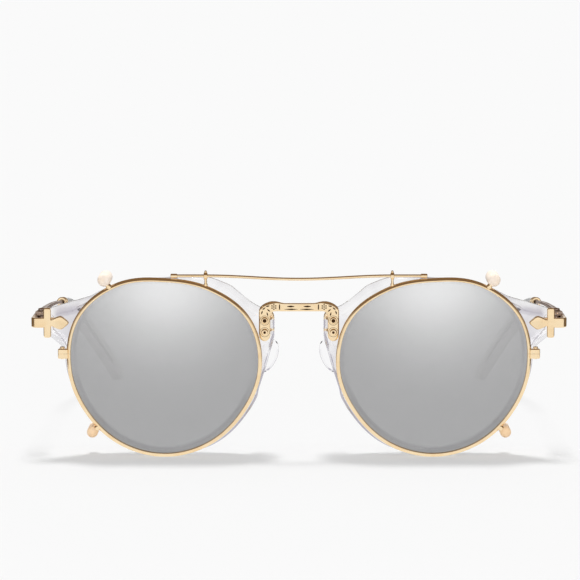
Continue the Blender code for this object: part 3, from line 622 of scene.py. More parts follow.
def slottedScrew(name, foot, sizes, start, end):
    # An upright shank from start to end, then a domed head with a driver slot
    radius, head, high, slot = pick(sizes, "radius head headHeight slot")
    profile = [(radius * 0.02, start), (radius, start), (radius, end), (head * 0.97, end),
               (head, end + high * 0.15), (head, end + high * 0.5)]
    profile += [(head * c, end + high * (0.5 + 0.5 * s)) for c, s in arc(6)[1:-1]]
    profile.append((head * 0.02, end + high))
    screw = lathe(name, profile, foot, upwards, 32)
    cut(screw, block("slot", foot + Vector((-head * 1.5, -slot / 2, end + high * 0.45)),
                     foot + Vector((head * 1.5, slot / 2, end + high * 2))))
    # painted shade in the driver slot
    mark(screw, "groove",
         lambda p: float(0.4 < (p.z - foot.z - end) / high < 0.5 and abs(p.y - foot.y) < slot * 0.6))
    smooth(screw, 35)
    return screw


def makeLockScrew(side, sideName):
    low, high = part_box(sideName + "_clip_lock_screw")
    foot = Vector(((low.x + high.x) / 2, (low.y + high.y) / 2, low.z))
    screw = slottedScrew(sideName + "LockScrew", foot, lockScrew, 0.0, high.z - low.z - lockScrew["headHeight"])
    dress(screw, "clip_on", gold, sideName + "_clip_lock_screw")


browBar = {"radius": 0.0004, "dip": 0.0009, "endAngle": math.radians(94.2), "gap": 0.0003, "steps": 48,
           "endLength": 0.0018, "endRadius": 0.00058, "endRound": 0.0002, "sides": 20, "spacing": 0.0008}
barPost = {"angle": math.radians(116.3), "stem": 0.00035, "eye": 0.00095, "eyeLength": 0.0010,
           "eyeRound": 0.00025, "bore": 0.0006, "ball": 0.00035, "gap": 0.0003}
barEnd = rimSpot(browBar["endAngle"])
postFoot = rimSpot(barPost["angle"], barPost["gap"])


def barHeight(x):
    near = min(abs(x) / postFoot.x, 1.0)
    return barEnd.z + browBar["gap"] + browBar["radius"] - browBar["dip"] * (1 + math.cos(math.pi * near)) / 2


def makeBrowBar():
    xs = [barEnd.x * (2 * k / browBar["steps"] - 1) for k in range(browBar["steps"] + 1)]
    bar = bendWire("browBar", [flatSpot(1, x, barHeight(x), clipMiddle) for x in xs], browBar, gold)
    profile = roundedRod(browBar["endRadius"], 0.0, browBar["endLength"], browBar["endRound"])
    for side in sides.values():
        start = flatSpot(side, barEnd.x, barHeight(barEnd.x), clipMiddle)
        weld(bar, lathe("barEnd", profile, start, sideways * -side, 24))
    dress(bar, "clip_on", gold, "brow_bar", 50)


def makeBarPost(side, sideName):
    # A stem with an eye round the brow bar and a ball on top
    foot = flatSpot(side, postFoot.x, postFoot.z, clipMiddle)
    rise = barHeight(foot.x) - foot.z
    stem, ball, bore, half = barPost["stem"], barPost["ball"], barPost["bore"], barPost["eyeLength"] / 2
    top = rise + barPost["eye"] + ball / 2
    profile = [(stem * 1.5, -clipRim["width"] * 0.4), (stem * 1.5, 0.0), (stem, stem), (stem, top - stem)]
    profile += [(ball * c, top + ball * s) for c, s in arc(7, -math.pi / 3, quarter + math.pi / 3)[:-1]]
    profile.append((stem * 0.03, top + ball))
    post = lathe(sideName + "BarPost", profile, foot, upwards, 24)
    eye = foot + upwards * rise
    shell = roundedRod(barPost["eye"], -half, half, barPost["eyeRound"], bore * 0.6)
    weld(post, lathe("eye", shell, eye, sideways, 36))
    cut(post, lathe("bore", [(bore, -3 * half), (bore, 3 * half)], eye, sideways, 24))
    dress(post, "clip_on", gold, sideName + "_bar_post", 45)


hooks = {"radius": 0.00045, "bend": 0.0008, "reachBack": 0.0042, "sides": 18, "spacing": 0.00025,
         "upper": math.radians(56), "lower": math.radians(-42),
         "solder": ((0.00002, -0.0002), (0.00075, -0.0001), (0.0008, 0.0003), (0.0007, 0.0009),
                    (0.00062, 0.0013), (0.00002, 0.00135))}  # (radius, distance)
sleeve = {"fit": 0.00005, "round": 0.0011}


def makeHook(side, sideName, level):
    # Out from the clip-on rim, round a bend and straight back through a soft cap
    name, node = sideName + level.title(), f"{sideName}_{level}_"
    low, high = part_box(node + "sleeve")
    middle = (low + high) / 2
    lensCentre = flatSpot(side, lensX, lensZ, 0)
    out = Vector((middle.x, frontY, middle.z)) - lensCentre
    reach, bend = out.length, hooks["bend"]
    out.normalize()
    start = lensEdge(hooks[level]) + clipRim["width"] * 0.5
    places = [(start, clipMiddle), (start + (reach - bend - start) / 2, clipMiddle)]
    places += [(reach - bend * (1 - s), clipMiddle + bend * (1 - c)) for c, s in arc(8)]
    places.append((reach, hooks["reachBack"]))
    points = [lensCentre + out * radius + backwards * depth for radius, depth in places]
    hook = bendWire(name + "Hook", points, hooks, gold)
    weld(hook, lathe("solder", hooks["solder"], points[0], out, 24))
    dress(hook, "clip_on", gold, node + "hook", 60)
    profile = roundedRod((high.z - low.z) / 2, low.y, high.y, sleeve["round"], steps=8)
    cap = lathe(name + "Sleeve", profile, Vector((middle.x, 0.0, middle.z)), backwards, 48)
    cut(cap, bendWire("channel", points, {**hooks, "radius": hooks["radius"] + sleeve["fit"]}, gold))
    dress(cap, "clip_on", soft, node + "sleeve", 50)


# Front frame

eyeRim = {"radius": 0.0238, "depth": 0.0040, "steps": 360, "passes": 6, "normalPasses": 4, "frontRound": 0.0024,
          "backRound": 0.0013, "innerRound": 0.0004, "crown": 0.00018, "grooveAt": 0.0022,
          "grooveHalf": 0.0007, "grooveDepth": 0.0007, "wallGap": 0.0050, "thickGap": 0.0085,
          "brightAt": math.radians(132), "brightWide": math.radians(36), "brightMost": 0.8,
          "shares": (1.126, 1.190, 1.076, 1.0, 1.134, 1.220, 1.151, 1.084, 1.062, 1.0, 1.004, 1.038),
          "lug": ((0.0269, 0.0018), (0.0275, 0.0055), (0.0320, 0.0079), (0.0320, 0.0153), (0.0194, 0.0189)),
          "ear": ((-0.0172, 0.0222), (-0.0215, 0.0184), (-0.0252, 0.0158), (-0.0294, 0.0148), (-0.0294, 0.0076),
                  (-0.0274, 0.0003), (-0.0248, -0.0077))}


def rimEdge(angle):
    for corners in (eyeRim["lug"], eyeRim["ear"]):
        places = [(math.atan2(z, x) % full, x, z) for x, z in corners]
        for (first, px, pz), (last, qx, qz) in zip(places, places[1:]):
            if first <= angle <= last:
                return (px * qz - pz * qx) / (math.cos(angle) * (qz - pz) - math.sin(angle) * (qx - px))
    return sharesRadius(eyeRim["shares"], eyeRim["radius"], angle)


def makeEyeRim(side, sideName):
    outer = soften(polarOutline(rimEdge, eyeRim["steps"]), eyeRim["passes"])
    normals = soften(outlineNormals(outer), eyeRim["normalPasses"])
    aperture = polarOutline(apertureEdge, eyeRim["steps"])
    front, back, inner, depth, crown = pick(eyeRim, "frontRound backRound innerRound depth crown")
    at, half, sunk = pick(eyeRim, "grooveAt grooveHalf grooveDepth")
    rows = [("outer", front * (1 - s), crown + front * (1 - c)) for c, s in arc(8)]  # (edge, inset, depth)
    rows += [("outer", back * (1 - c), depth - back * (1 - s)) for c, s in arc(6)]
    rows += [("inner", inner * (1 - s), depth - inner * (1 - c)) for c, s in arc(4)]
    rows += [("inner", 0.0, at + half), ("inner", sunk, at + half), ("inner", sunk, at - half),
             ("inner", 0.0, at - half)]
    rows += [("inner", inner * (1 - c), inner * (1 - s)) for c, s in arc(4)] + [("middle", 0.0, 0.0)]
    ribs = list(zip(outer, normals, aperture, outlineNormals(aperture)))

    def ribSpot(rib, which, inset, at):
        (ox, oz), (nx, nz), (ax, az), (mx, mz) = rib
        if which == "outer":
            inset *= min(1.0, math.hypot(ox - ax, oz - az) * 0.45 / front)
            x, z = ox - nx * inset, oz - nz * inset
        elif which == "inner":
            x, z = ax + mx * inset, az + mz * inset
        else:
            x, z = (ox + ax) / 2, (oz + az) / 2
        return flatSpot(side, lensX + x, lensZ + z, at)

    rim = loftLoops(sideName + "EyeRim", [[ribSpot(rib, *row) for rib in ribs] for row in rows], True, 55)

    def thickTintAndShade(point):
        # Partly real tint and partly painted shade: deep in colour near the aperture of wide places and along
        # the outer wall of narrow ones, and paler as painted light round the angle brightAt
        x, z = side * point.x - lensX, point.z - lensZ
        angle = math.atan2(z, x) % full
        k = min(int(angle / full * len(ribs)), len(ribs) - 1)
        start, end = math.hypot(*aperture[k]), math.hypot(*outer[k])
        share = 1 - clamp((math.hypot(x, z) - start) / (end - start))
        narrow = clamp(2 - (end - start) / eyeRim["wallGap"] * 2)
        bright = 2 - 2 * abs(angle - eyeRim["brightAt"]) / eyeRim["brightWide"]
        value = max(share * min((end - start) / eyeRim["thickGap"], 1.0), (1 - share) * narrow)
        return value * (1 - min(clamp(bright), eyeRim["brightMost"]))

    mark(rim, "thickTintAndShade", thickTintAndShade)
    dress(rim, "front_frame", acetate, sideName + "_eye_rim")


opticalLens = {"bite": 0.0005, "edge": 0.0010, "sag": 0.0016, "rings": 16, "steps": 160}


def makeOpticalLens(side, sideName):
    lens = makeDome(sideName + "OpticalLens", side, apertureEdge, opticalLens, eyeRim["grooveAt"])
    dress(lens, "front_frame", clear, sideName + "_optical_lens")


nosePad = {"length": 0.0100, "width": 0.0050, "depth": 0.0058, "splay": 0.0026, "lean": math.radians(24),
           "inset": 0.0278, "seat": 0.0003, "steps": 14, "sides": 32, "endTurn": quarter / 1.03,
           "depthShares": (0.0, 0.40, 0.62, 1.0), "sizeShares": (0.94, 1.0, 0.97, 0.42)}


def padSize(at):
    # Smooth value between the listed shares
    rows = list(zip(nosePad["depthShares"], nosePad["sizeShares"]))
    for (p, a), (q, b) in zip(rows, rows[1:]):
        if at <= q:
            return a + (b - a) * ease((at - p) / (q - p))


def makeNosePad(side, sideName):
    low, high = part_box(sideName + "_nose_pad")
    flank, flankSize = nosePad["depthShares"][2], nosePad["sizeShares"][2]
    rows = [(0.0, 0.86), (0.01, 0.91)]  # (share of the depth, share of the size)
    rows += [(flank * k / nosePad["steps"], padSize(flank * k / nosePad["steps"]))
             for k in range(1, nosePad["steps"] + 1)]
    rows += [(flank + (1 - flank) * s, flankSize * c) for c, s in arc(10, turn=nosePad["endTurn"])[1:]]
    leanX, leanZ = math.cos(nosePad["lean"]), math.sin(nosePad["lean"])
    loops = []
    for share, size in rows:
        middle = lensX - nosePad["inset"] + nosePad["splay"] * share
        depth = eyeRim["depth"] + nosePad["seat"] + nosePad["depth"] * share
        wide, tall = nosePad["width"] / 2 * size, nosePad["length"] / 2 * size
        loops.append([flatSpot(side, middle + wide * c * leanX - tall * s * leanZ,
                               (low.z + high.z) / 2 + wide * c * leanZ + tall * s * leanX, depth)
                      for c, s in arc(nosePad["sides"], turn=full)[:-1]])
    dress(loftLoops(sideName + "NosePad", loops, sharp=60), "front_frame", padAcetate, sideName + "_nose_pad")


bridge = {"thickness": 0.0010, "gap": 0.0003, "barBottom": 0.0150, "barTop": 0.0172, "shoulderTop": 0.0177,
          "slopeDrop": 0.0006, "cornerDrop": 0.0021, "legInset": 0.0268, "legWidth": 0.0031, "legEnd": 0.0068,
          "armpit": 0.0007, "barShare": 0.55, "peakShare": 0.74, "screwHeight": 0.01255, "rivetHeight": 0.0094,
          "pitch": 0.00022, "passes": 8, "edgeRound": 0.00066, "edgeDepth": 0.00045, "backRound": 0.0002,
          "slopeFrom": 0.0060, "slopeUp": 0.0152, "slopeFade": 0.0012, "thinTo": 0.0042, "thinFade": 0.0018,
          "fieldHalf": 0.00455, "fieldBottom": 0.00036, "fieldTop": 0.00042, "fieldDepth": 0.00014,
          "cutDepth": 0.00046, "ringRadius": 0.00126, "ringWidth": 0.00013, "ringDepth": 0.00022,
          "pitRadius": 0.00020, "flowerAcross": 0.00672, "flowerDrop": 0.00098, "petalReach": 0.00058,
          "toolRise": 0.0003, "margin": 0.00002, "markFrom": 0.00015, "ringShade": 0.8}
# Slots along the bar and leaves down the shoulders: across, drop, half length, half height, degrees, bluntness
bridgeCuts = ((0.00222, 0.00086, 0.00098, 0.00025, 0, 0.3), (0.00212, 0.00163, 0.00186, 0.00020, 0, 0.15),
              (0.00520, 0.00100, 0.00072, 0.00017, 90, 0.8), (0.00835, 0.00078, 0.00052, 0.00020, -14, 0.25),
              (0.00938, 0.00142, 0.00052, 0.00020, -42, 0.25), (0.00992, 0.00248, 0.00052, 0.00020, -72, 0.25),
              (0.00812, 0.00190, 0.00052, 0.00020, 40, 0.25), (0.00846, 0.00292, 0.00052, 0.00020, 74, 0.25))
bridgeFront = -bridge["gap"] - bridge["thickness"]
legMiddle = lensX - bridge["legInset"]


def bridgeOutline():
    half, top, shoulder, armpit = bridge["legWidth"] / 2, *pick(bridge, "barTop shoulderTop armpit")
    outer, inner, peak = legMiddle + half, legMiddle - half, legMiddle * bridge["peakShare"]
    right = [(inner * bridge["barShare"], top), (peak - half / 2, shoulder), (peak + half / 2, shoulder),
             (legMiddle, shoulder - bridge["slopeDrop"]), (outer - armpit, shoulder - 2 * bridge["slopeDrop"]),
             (outer, shoulder - bridge["cornerDrop"])]
    right += [(legMiddle + half * c, bridge["legEnd"] + half + half * s) for c, s in arc(16, turn=-math.pi)]
    right += [(inner, bridge["barBottom"] - armpit), (inner - armpit, bridge["barBottom"])]
    return [(-x, z) for x, z in right] + right[::-1]


def lozenge(x, z, halfLength, halfHeight, turned, blunt):
    # Pointed slot outline with short blunt ends
    tip = halfHeight * blunt
    places = ((-halfLength, -tip), (0.0, -halfHeight), (halfLength, -tip), (halfLength, tip), (0.0, halfHeight),
              (-halfLength, tip))
    return [(x + u * math.cos(turned) - v * math.sin(turned), z + u * math.sin(turned) + v * math.cos(turned))
            for u, v in places]


def insidePolygon(x, z, corners):
    inside = False
    for (ax, az), (bx, bz) in edges(corners):
        if (az > z) != (bz > z) and x < ax + (z - az) / (bz - az) * (bx - ax):
            inside = not inside
    return inside


def grown(shape, distance):
    # The shape pushed out from its middle, so that its own wall counts as inside
    middle = sum((Vector(point) for point in shape), Vector((0, 0))) / len(shape)
    return [tuple(Vector(point) + (Vector(point) - middle).normalized() * distance) for point in shape]


def bridgePlate():
    # Rounded edges in front: the slopes of the shoulders are cut back further, the middle of the bar less
    outline = fillEdges(bridgeOutline(), edgeSteps(bridgeOutline(), bridge["pitch"], 1), bridge["passes"])
    fade, small = bridge["slopeFade"], bridge["backRound"]
    rims = []
    for (x, z), (nx, nz) in zip(outline, outlineNormals(outline)):
        slope = clamp((abs(x) - bridge["slopeFrom"]) / fade) * clamp((z - bridge["slopeUp"]) / fade)
        thin = 1 - clamp((abs(x) - bridge["thinTo"]) / bridge["thinFade"])
        rims.append((x, z, nx, nz, bridge["edgeRound"] * (1 + 0.9 * slope - 0.55 * thin),
                     bridge["edgeDepth"] * (1 + 0.55 * slope - 0.4 * thin)))
    loops = [[flatSpot(1, x - nx * inset * (1 - s), lensZ + z - nz * inset * (1 - s),
                       bridgeFront + deep * (1 - c)) for x, z, nx, nz, inset, deep in rims] for c, s in arc(6)]
    loops += [[flatSpot(1, x - nx * small * (1 - c), lensZ + z - nz * small * (1 - c),
                        -bridge["gap"] - small * (1 - s)) for x, z, nx, nz, *rest in rims] for c, s in arc(3)]
    return loftLoops("bridge.plate", loops)


def makeBridge():
    plate = bridgePlate()
    floor, ahead, top = bridgeFront + bridge["cutDepth"], bridgeFront - bridge["thickness"], bridge["barTop"]
    half, margin, pit, rise = pick(bridge, "fieldHalf margin pitRadius toolRise")
    cut(plate, block("field", flatSpot(1, -half, lensZ + bridge["barBottom"] + bridge["fieldBottom"], ahead),
                     flatSpot(1, half, lensZ + top - bridge["fieldTop"], bridgeFront + bridge["fieldDepth"])))
    shapes = [lozenge(side * across, top - drop, length, height, side * math.radians(turned), blunt)
              for side in (-1, 1) for across, drop, length, height, turned, blunt in bridgeCuts]
    for shape in shapes:
        walls = [[flatSpot(1, x, lensZ + z, at) for x, z in shape] for at in (ahead, floor)]
        cut(plate, loftLoops("cut", walls))
    ring, wide, deep = bridge["ringRadius"], bridge["ringWidth"] / 2, bridge["ringDepth"]
    fasteners = [(side * legMiddle, height) for side in (-1, 1)
                 for height in (bridge["screwHeight"], bridge["rivetHeight"])]
    line = [(ring - wide, -rise), (ring + wide, -rise), (ring + wide * 0.6, deep), (ring - wide * 0.6, deep)]
    for x, z in fasteners:  # a thin line round each fastener
        cut(plate, lathe("line", line, flatSpot(1, x, lensZ + z, bridgeFront), backwards, 48, True))
    flower, drop, petal = pick(bridge, "flowerAcross flowerDrop petalReach")
    pits = [(side * flower + petal * c, top - drop + petal * s) for side in (-1, 1)
            for c, s in [(0, 0)] + arc(6, math.pi / 6, full)[:-1]]
    profile = [(0.00001, -pit), (pit * 0.7, -pit * 0.8), (pit, 0.0), (pit, rise)]
    dot = lathe("pit", profile, Vector((0, 0, 0)), -backwards, 12)
    cut(plate, grow("pits", [flatSpot(1, x, lensZ + z, bridgeFront) for x, z in pits], stampAtPoints,
                    {"shape": dot, "material": gold}, chain=False))
    bpy.data.objects.remove(dot)
    wider = [grown(shape, margin) for shape in shapes]

    def sunk(point):
        x, z = point.x, point.z - lensZ
        if not bridgeFront + bridge["markFrom"] < point.y - frontY < floor + margin:
            return 0.0
        if any(abs(math.hypot(x - fx, z - fz) - ring) < 2 * wide for fx, fz in fasteners):
            return bridge["ringShade"]
        return float(any(math.hypot(x - px, z - pz) < pit * 1.05 for px, pz in pits)
                     or any(insidePolygon(x, z, shape) for shape in wider))

    mark(plate, "groove", sunk)
    dress(plate, "front_frame", gold, "bridge", 35)


fastener = {"radius": 0.0006, "head": 0.00095, "headHeight": 0.0005, "tailHeight": 0.0004, "fit": 0.0001,
            "rimWidth": 0.00008, "rimRound": 0.00004, "shankShade": 0.6,
            "Screw": (bridge["screwHeight"], 0.00050),  # height, radius of the socket
            "Rivet": (bridge["rivetHeight"], 0.00034)}
pinTail = eyeRim["depth"] + fastener["fit"]  # where a fastener's head or tail sits behind the rim


def makeBridgeFasteners(side, sideName):
    # Domed heads in front, each with a socket painted dark as shade, and flat tails behind the rim
    shank, radius, high, back = pick(fastener, "radius head headHeight tailHeight")
    head = -bridgeFront + fastener["fit"]
    top = head + high
    for part in ("Screw", "Rivet"):
        height, socket = fastener[part]
        centre = flatSpot(side, legMiddle, lensZ + height, 0)
        profile = [(0.00001, -pinTail - back), (radius * 0.55, -pinTail - back),
                   (radius * 0.9, -pinTail - back * 0.5), (radius * 0.95, -pinTail), (shank, -pinTail),
                   (shank, head), (radius * 0.95, head), (radius, head + high * 0.12)]
        spread = socket + fastener["rimWidth"]
        profile += [(spread + (radius - spread) * c, head + high * (0.12 + 0.88 * s)) for c, s in arc(7)[1:-1]]
        profile += [(socket + fastener["rimRound"], top), (socket, top - fastener["rimRound"]),
                    (socket * 0.96, top - high * 0.75), (0.00001, top - high * 0.8)]
        item = lathe(f"{sideName}Bridge{part}", profile, centre, -backwards)

        def socketAndShankShade(point):
            # Painted shade: dark in the socket, and a painted darker tone on the shank inside the clear rim
            out, depth = math.hypot(point.x - centre.x, point.z - centre.z), point.y - frontY
            if out < socket * 1.02 and high * 0.3 - top < depth < high - head:
                return 1.0
            return fastener["shankShade"] * (out < shank * 1.02 and -head < depth + 1e-6 < pinTail + 2e-6)

        mark(item, "groove", socketAndShankShade)
        dress(item, "front_frame", gold, f"{sideName}_bridge_{part.lower()}")


endPiece = {"thickness": 0.0010, "gap": 0.0003, "rise": 0.0119, "lugReach": 0.0320, "crossInset": 0.0006,
            "crossWidth": 0.0020, "crossHalf": 0.00405, "armHalf": 0.00135, "lozengeLength": 0.0049,
            "lozengeHalf": 0.00205, "neckHalf": 0.00095, "neckLength": 0.0002, "neckBite": 0.0006,
            "strapReach": 0.0034, "strapCorner": 0.0014, "strapRound": 0.0003, "edgeRound": 0.00042,
            "crown": 0.00016, "pitch": 0.00016, "softness": 26, "crossSoftness": 14, "neckSoftness": 2,
            "dullAfter": 0.0024, "plateShade": 0.28, "shadeFade": 0.0012}
plateZ = lensZ + endPiece["rise"]
crossMiddle = lensX + endPiece["lugReach"] - endPiece["crossInset"]
crossInner = crossMiddle - endPiece["crossWidth"] / 2
crossOuter = crossMiddle + endPiece["crossWidth"] / 2
strapOuter = crossOuter + endPiece["strapReach"]
lozengeEnd = crossInner - endPiece["neckLength"]
lozengeTip = lozengeEnd - endPiece["lozengeLength"]
lozengeMiddle = (lozengeTip + lozengeEnd) / 2
hinge = {"pinInset": 0.0020, "pinDepth": 0.0094, "knuckleRadius": 0.0014, "knuckleHeight": 0.0012,
         "gap": 0.00015, "fit": 0.0001, "knuckleRound": 0.00018, "webInset": 0.0001}
hingeScrew = {"radius": 0.0005, "head": 0.0010, "headHeight": 0.0006, "slot": 0.00028}
pinX, pinDepth = strapOuter - hinge["pinInset"], hinge["pinDepth"]
hingeStep = hinge["knuckleHeight"] + hinge["gap"]


def addKnuckles(body, side, heights, outer, front, back, reach):
    # Knuckles with webs to the strap, then the screw's hole through them
    half, inset = hinge["knuckleHeight"] / 2, hinge["webInset"]
    bore = hingeScrew["radius"] + hinge["fit"]
    profile = roundedRod(hinge["knuckleRadius"], -half, half, hinge["knuckleRound"], hingeScrew["radius"] / 2)
    for height in heights:
        weld(body, block("web", flatSpot(side, pinX, height - half + inset, front),
                         flatSpot(side, outer, height + half - inset, back)))
        weld(body, lathe("knuckle", profile, flatSpot(side, pinX, height, pinDepth), upwards, 36))
    middle = flatSpot(side, pinX, plateZ, pinDepth)
    cut(body, lathe("hole", [(bore, -reach), (bore, reach)], middle, upwards, 24))


def insetCorners(corners, distance):
    # Moves the edges of a convex anticlockwise polygon inwards
    moved = []
    for (ax, az), (bx, bz), (cx, cz) in neighbours(corners):
        before, after = Vector((bx - ax, bz - az)).normalized(), Vector((cx - bx, cz - bz)).normalized()
        miter = distance / (1 + before.dot(after))
        moved.append((bx - miter * (before.y + after.y), bz + miter * (before.x + after.x)))
    return moved


def pillow(name, side, corners, front, back, crown, passes):
    # A convex plate with rounded edges and a slightly domed front
    corner = endPiece["edgeRound"]
    counts = edgeSteps(corners, endPiece["pitch"], 2)
    middleX, middleZ = (sum(values) / len(corners) for values in zip(*corners))
    rows = [(corner * 0.3, back, 1.0), (0.0, back - corner * 0.3, 1.0)]  # (inset, depth, share of the outline)
    rows += [(corner * (1 - c), front + corner * (1 - s), 1.0) for c, s in arc(5)]
    rows += [(corner, front - crown * (1 - share * share), share) for share in (0.85, 0.65, 0.45, 0.25, 0.05)]
    loops = [[flatSpot(side, middleX + (x - middleX) * share, plateZ + middleZ + (z - middleZ) * share, at)
              for x, z in fillEdges(insetCorners(corners, inset), counts, passes)] for inset, at, share in rows]
    return loftLoops(name, loops, sharp=60)


def makeEndPiece(side, sideName):
    # Lozenge, cross bar and neck, which lie a few hundredths of a millimetre apart in depth, then the strap
    thickness, crown = endPiece["thickness"], endPiece["crown"]
    wide, neck, cross, tall = pick(endPiece, "lozengeHalf neckHalf crossHalf armHalf")
    back = -endPiece["gap"]
    front = back - thickness
    plate = pillow(sideName + "EndPiece", side, [(lozengeTip, 0.0), (lozengeMiddle, -wide), (crossInner, -neck),
                                                 (crossInner, neck), (lozengeMiddle, wide)],
                   front, back, crown, endPiece["softness"])
    weld(plate, pillow("cross", side, [(crossInner, -cross), (crossOuter, -cross), (crossOuter, cross),
                                       (crossInner, cross)],
                       front - 0.00006, back - 0.00004, crown * 0.6, endPiece["crossSoftness"]))
    start, end = crossInner - endPiece["neckBite"], strapOuter - endPiece["strapCorner"]
    weld(plate, pillow("neck", side, [(start, -neck), (end, -tall), (end, tall), (start, neck)],
                       front + 0.00003, back - 0.00008, 0.00002, endPiece["neckSoftness"]))
    half, corner = thickness / 2, endPiece["strapCorner"]
    tall -= 0.00002
    strapX = strapOuter - half
    strapEnd = pinDepth - hinge["knuckleRadius"] - hinge["fit"] - hinge["gap"]
    route = [(crossMiddle + 0.0004, front + half, 1.0, 0.0)]
    route += [(strapX - corner + corner * s, front + half + corner * (1 - c), c, s) for c, s in arc(12)]
    route.append((strapX, strapEnd, 0.0, 1.0))
    section = sum(roundedCorners(half - 0.00001, tall, endPiece["strapRound"], 4), [])
    weld(plate, loftLoops("strap", [[flatSpot(side, x + s * u, plateZ + v, depth - c * u) for u, v in section]
                                    for x, depth, c, s in route]))
    weld(plate, block("skin", flatSpot(side, strapOuter - 0.0004, plateZ - tall + 0.00015, strapEnd - half),
                      flatSpot(side, strapOuter - 0.00002, plateZ + tall - 0.00015, pinDepth - hinge["gap"])))
    addKnuckles(plate, side, (plateZ - hingeStep, plateZ + hingeStep), strapX, strapEnd - half, pinDepth,
                2 * hingeStep)
    mark(plate, "dull", lambda p: clamp((p.y - frontY) / endPiece["dullAfter"]))
    # painted shade: the lozenge and neck darker than the cross bar, fading out towards the cross
    shade, fade = endPiece["plateShade"], endPiece["shadeFade"]
    mark(plate, "groove", lambda p: shade * clamp((crossInner - abs(p.x)) / fade))
    dress(plate, "front_frame", gold, sideName + "_end_piece", 40)


def makeHingeScrew(side, sideName):
    stack = 1.5 * hinge["knuckleHeight"] + hinge["gap"]
    screw = slottedScrew(sideName + "HingeScrew", flatSpot(side, pinX, plateZ, pinDepth), hingeScrew, -stack,
                         stack + hinge["fit"])
    dress(screw, "front_frame", aged, sideName + "_hinge_screw")


platePin = {"radius": 0.0005, "head": 0.0009, "inset": 0.0003}


def makePlatePins(side, sideName):
    shank, radius, tail = platePin["radius"], platePin["head"], fastener["tailHeight"]
    for pinName, x in (("lozenge", lozengeMiddle), ("neck", crossInner - platePin["inset"])):
        profile = [(0.00001, 0.0), (shank, 0.0), (shank, pinTail), (radius * 0.95, pinTail),
                   (radius, pinTail + tail * 0.3), (radius * 0.85, pinTail + tail * 0.7),
                   (radius * 0.5, pinTail + tail * 0.95), (0.00001, pinTail + tail)]
        pin = lathe(f"{sideName}{pinName.title()}Pin", profile, flatSpot(side, x, plateZ, 0), backwards, 28)
        dress(pin, "front_frame", gold, f"{sideName}_{pinName}_pin")


# Temples

arm = {"thickness": 0.0012, "frontHeight": 0.0030, "endHeight": 0.0010, "taper": 2.6, "thinning": 0.0002,
       "thinBy": 0.4, "endDepth": 0.0760, "endInset": 0.0016, "fall": 0.0046, "arch": 0.0011, "steps": 72,
       "corner": 0.0003, "recess": 0.00018, "bandHalf": 0.60, "bandWall": 0.08, "bandStart": 0.03,
       "bandEnd": 0.95, "skinInset": 0.0003, "beadRadius": 0.000216, "beadPitch": 0.00078, "beadSpread": 0.05,
       "beadMargin": 0.015, "beadLift": 0.00003}
armStart = pinDepth + hinge["knuckleRadius"] + hinge["fit"] + hinge["gap"]
armFrontX = strapOuter - arm["thickness"] / 2
armEndX = strapOuter - arm["endInset"]


def armSpot(side, share):
    z = plateZ - arm["fall"] * share + arm["arch"] * math.sin(math.pi * share)
    depth = armStart + (arm["endDepth"] - armStart) * share
    return flatSpot(side, armFrontX + (armEndX - armFrontX) * share, z, depth)


def armEndDirection(side):
    return (armSpot(side, 1.0) - armSpot(side, 1 - 1 / 6)).normalized()


def sectionAxes(along):
    across = along.cross(upwards).normalized()
    return across, across.cross(along)


def armHalf(share):
    return arm["thickness"] / 2 - arm["thinning"] * min(share / arm["thinBy"], 1.0)


def armSection(share):
    # Section points as (across, up, in the dark band); both faces carry a sunk band
    half = armHalf(share)
    tall = (arm["endHeight"] + (arm["frontHeight"] - arm["endHeight"]) * (1 - share) ** arm["taper"]) / 2
    sunk = arm["recess"] if arm["bandStart"] < share < arm["bandEnd"] else 0.0
    edge, wall = tall * arm["bandHalf"], tall * arm["bandWall"]
    points = []
    for face, corner in zip((0, -1, 0, 1), roundedCorners(half, tall, arm["corner"], 3)):
        points += [(u, v, False) for u, v in corner]
        if face:  # after the upper corner of one face, after the lower corner of the other
            points += [(face * (half - depth), up * -face, depth > 0)
                       for up, depth in ((edge, 0.0), (edge - wall, sunk), (wall - edge, sunk), (-edge, 0.0))]
    return points


def makeArm(side, sideName):
    loops, band = [], set()

    def key(point):
        return tuple(round(c, 6) for c in point)

    for k in range(arm["steps"] + 1):
        share = k / arm["steps"]
        ahead = armSpot(side, min(share + 0.01, 1.0)) - armSpot(side, max(share - 0.01, 0.0))
        across, up = sectionAxes(ahead.normalized())
        section = armSection(share)
        loops.append([armSpot(side, share) + across * u + up * v for u, v, dark in section])
        band.update(key(point) for point, (u, v, dark) in zip(loops[-1], section) if dark)
    body = loftLoops(sideName + "Arm", loops)
    tall, inside = endPiece["armHalf"] - arm["skinInset"], armStart + arm["thickness"] / 2
    weld(body, block("skin", flatSpot(side, strapOuter - 0.0005, plateZ - tall, pinDepth + hinge["gap"]),
                     flatSpot(side, strapOuter - 0.0001, plateZ + tall, inside)))
    addKnuckles(body, side, [plateZ], armFrontX, pinDepth, inside, hingeStep)
    mark(body, "groove", lambda p: float(key(p) in band))
    dress(body, sideName + "_temple", aged, sideName + "_temple_arm", 45)
    makeArmBeads(side, sideName)


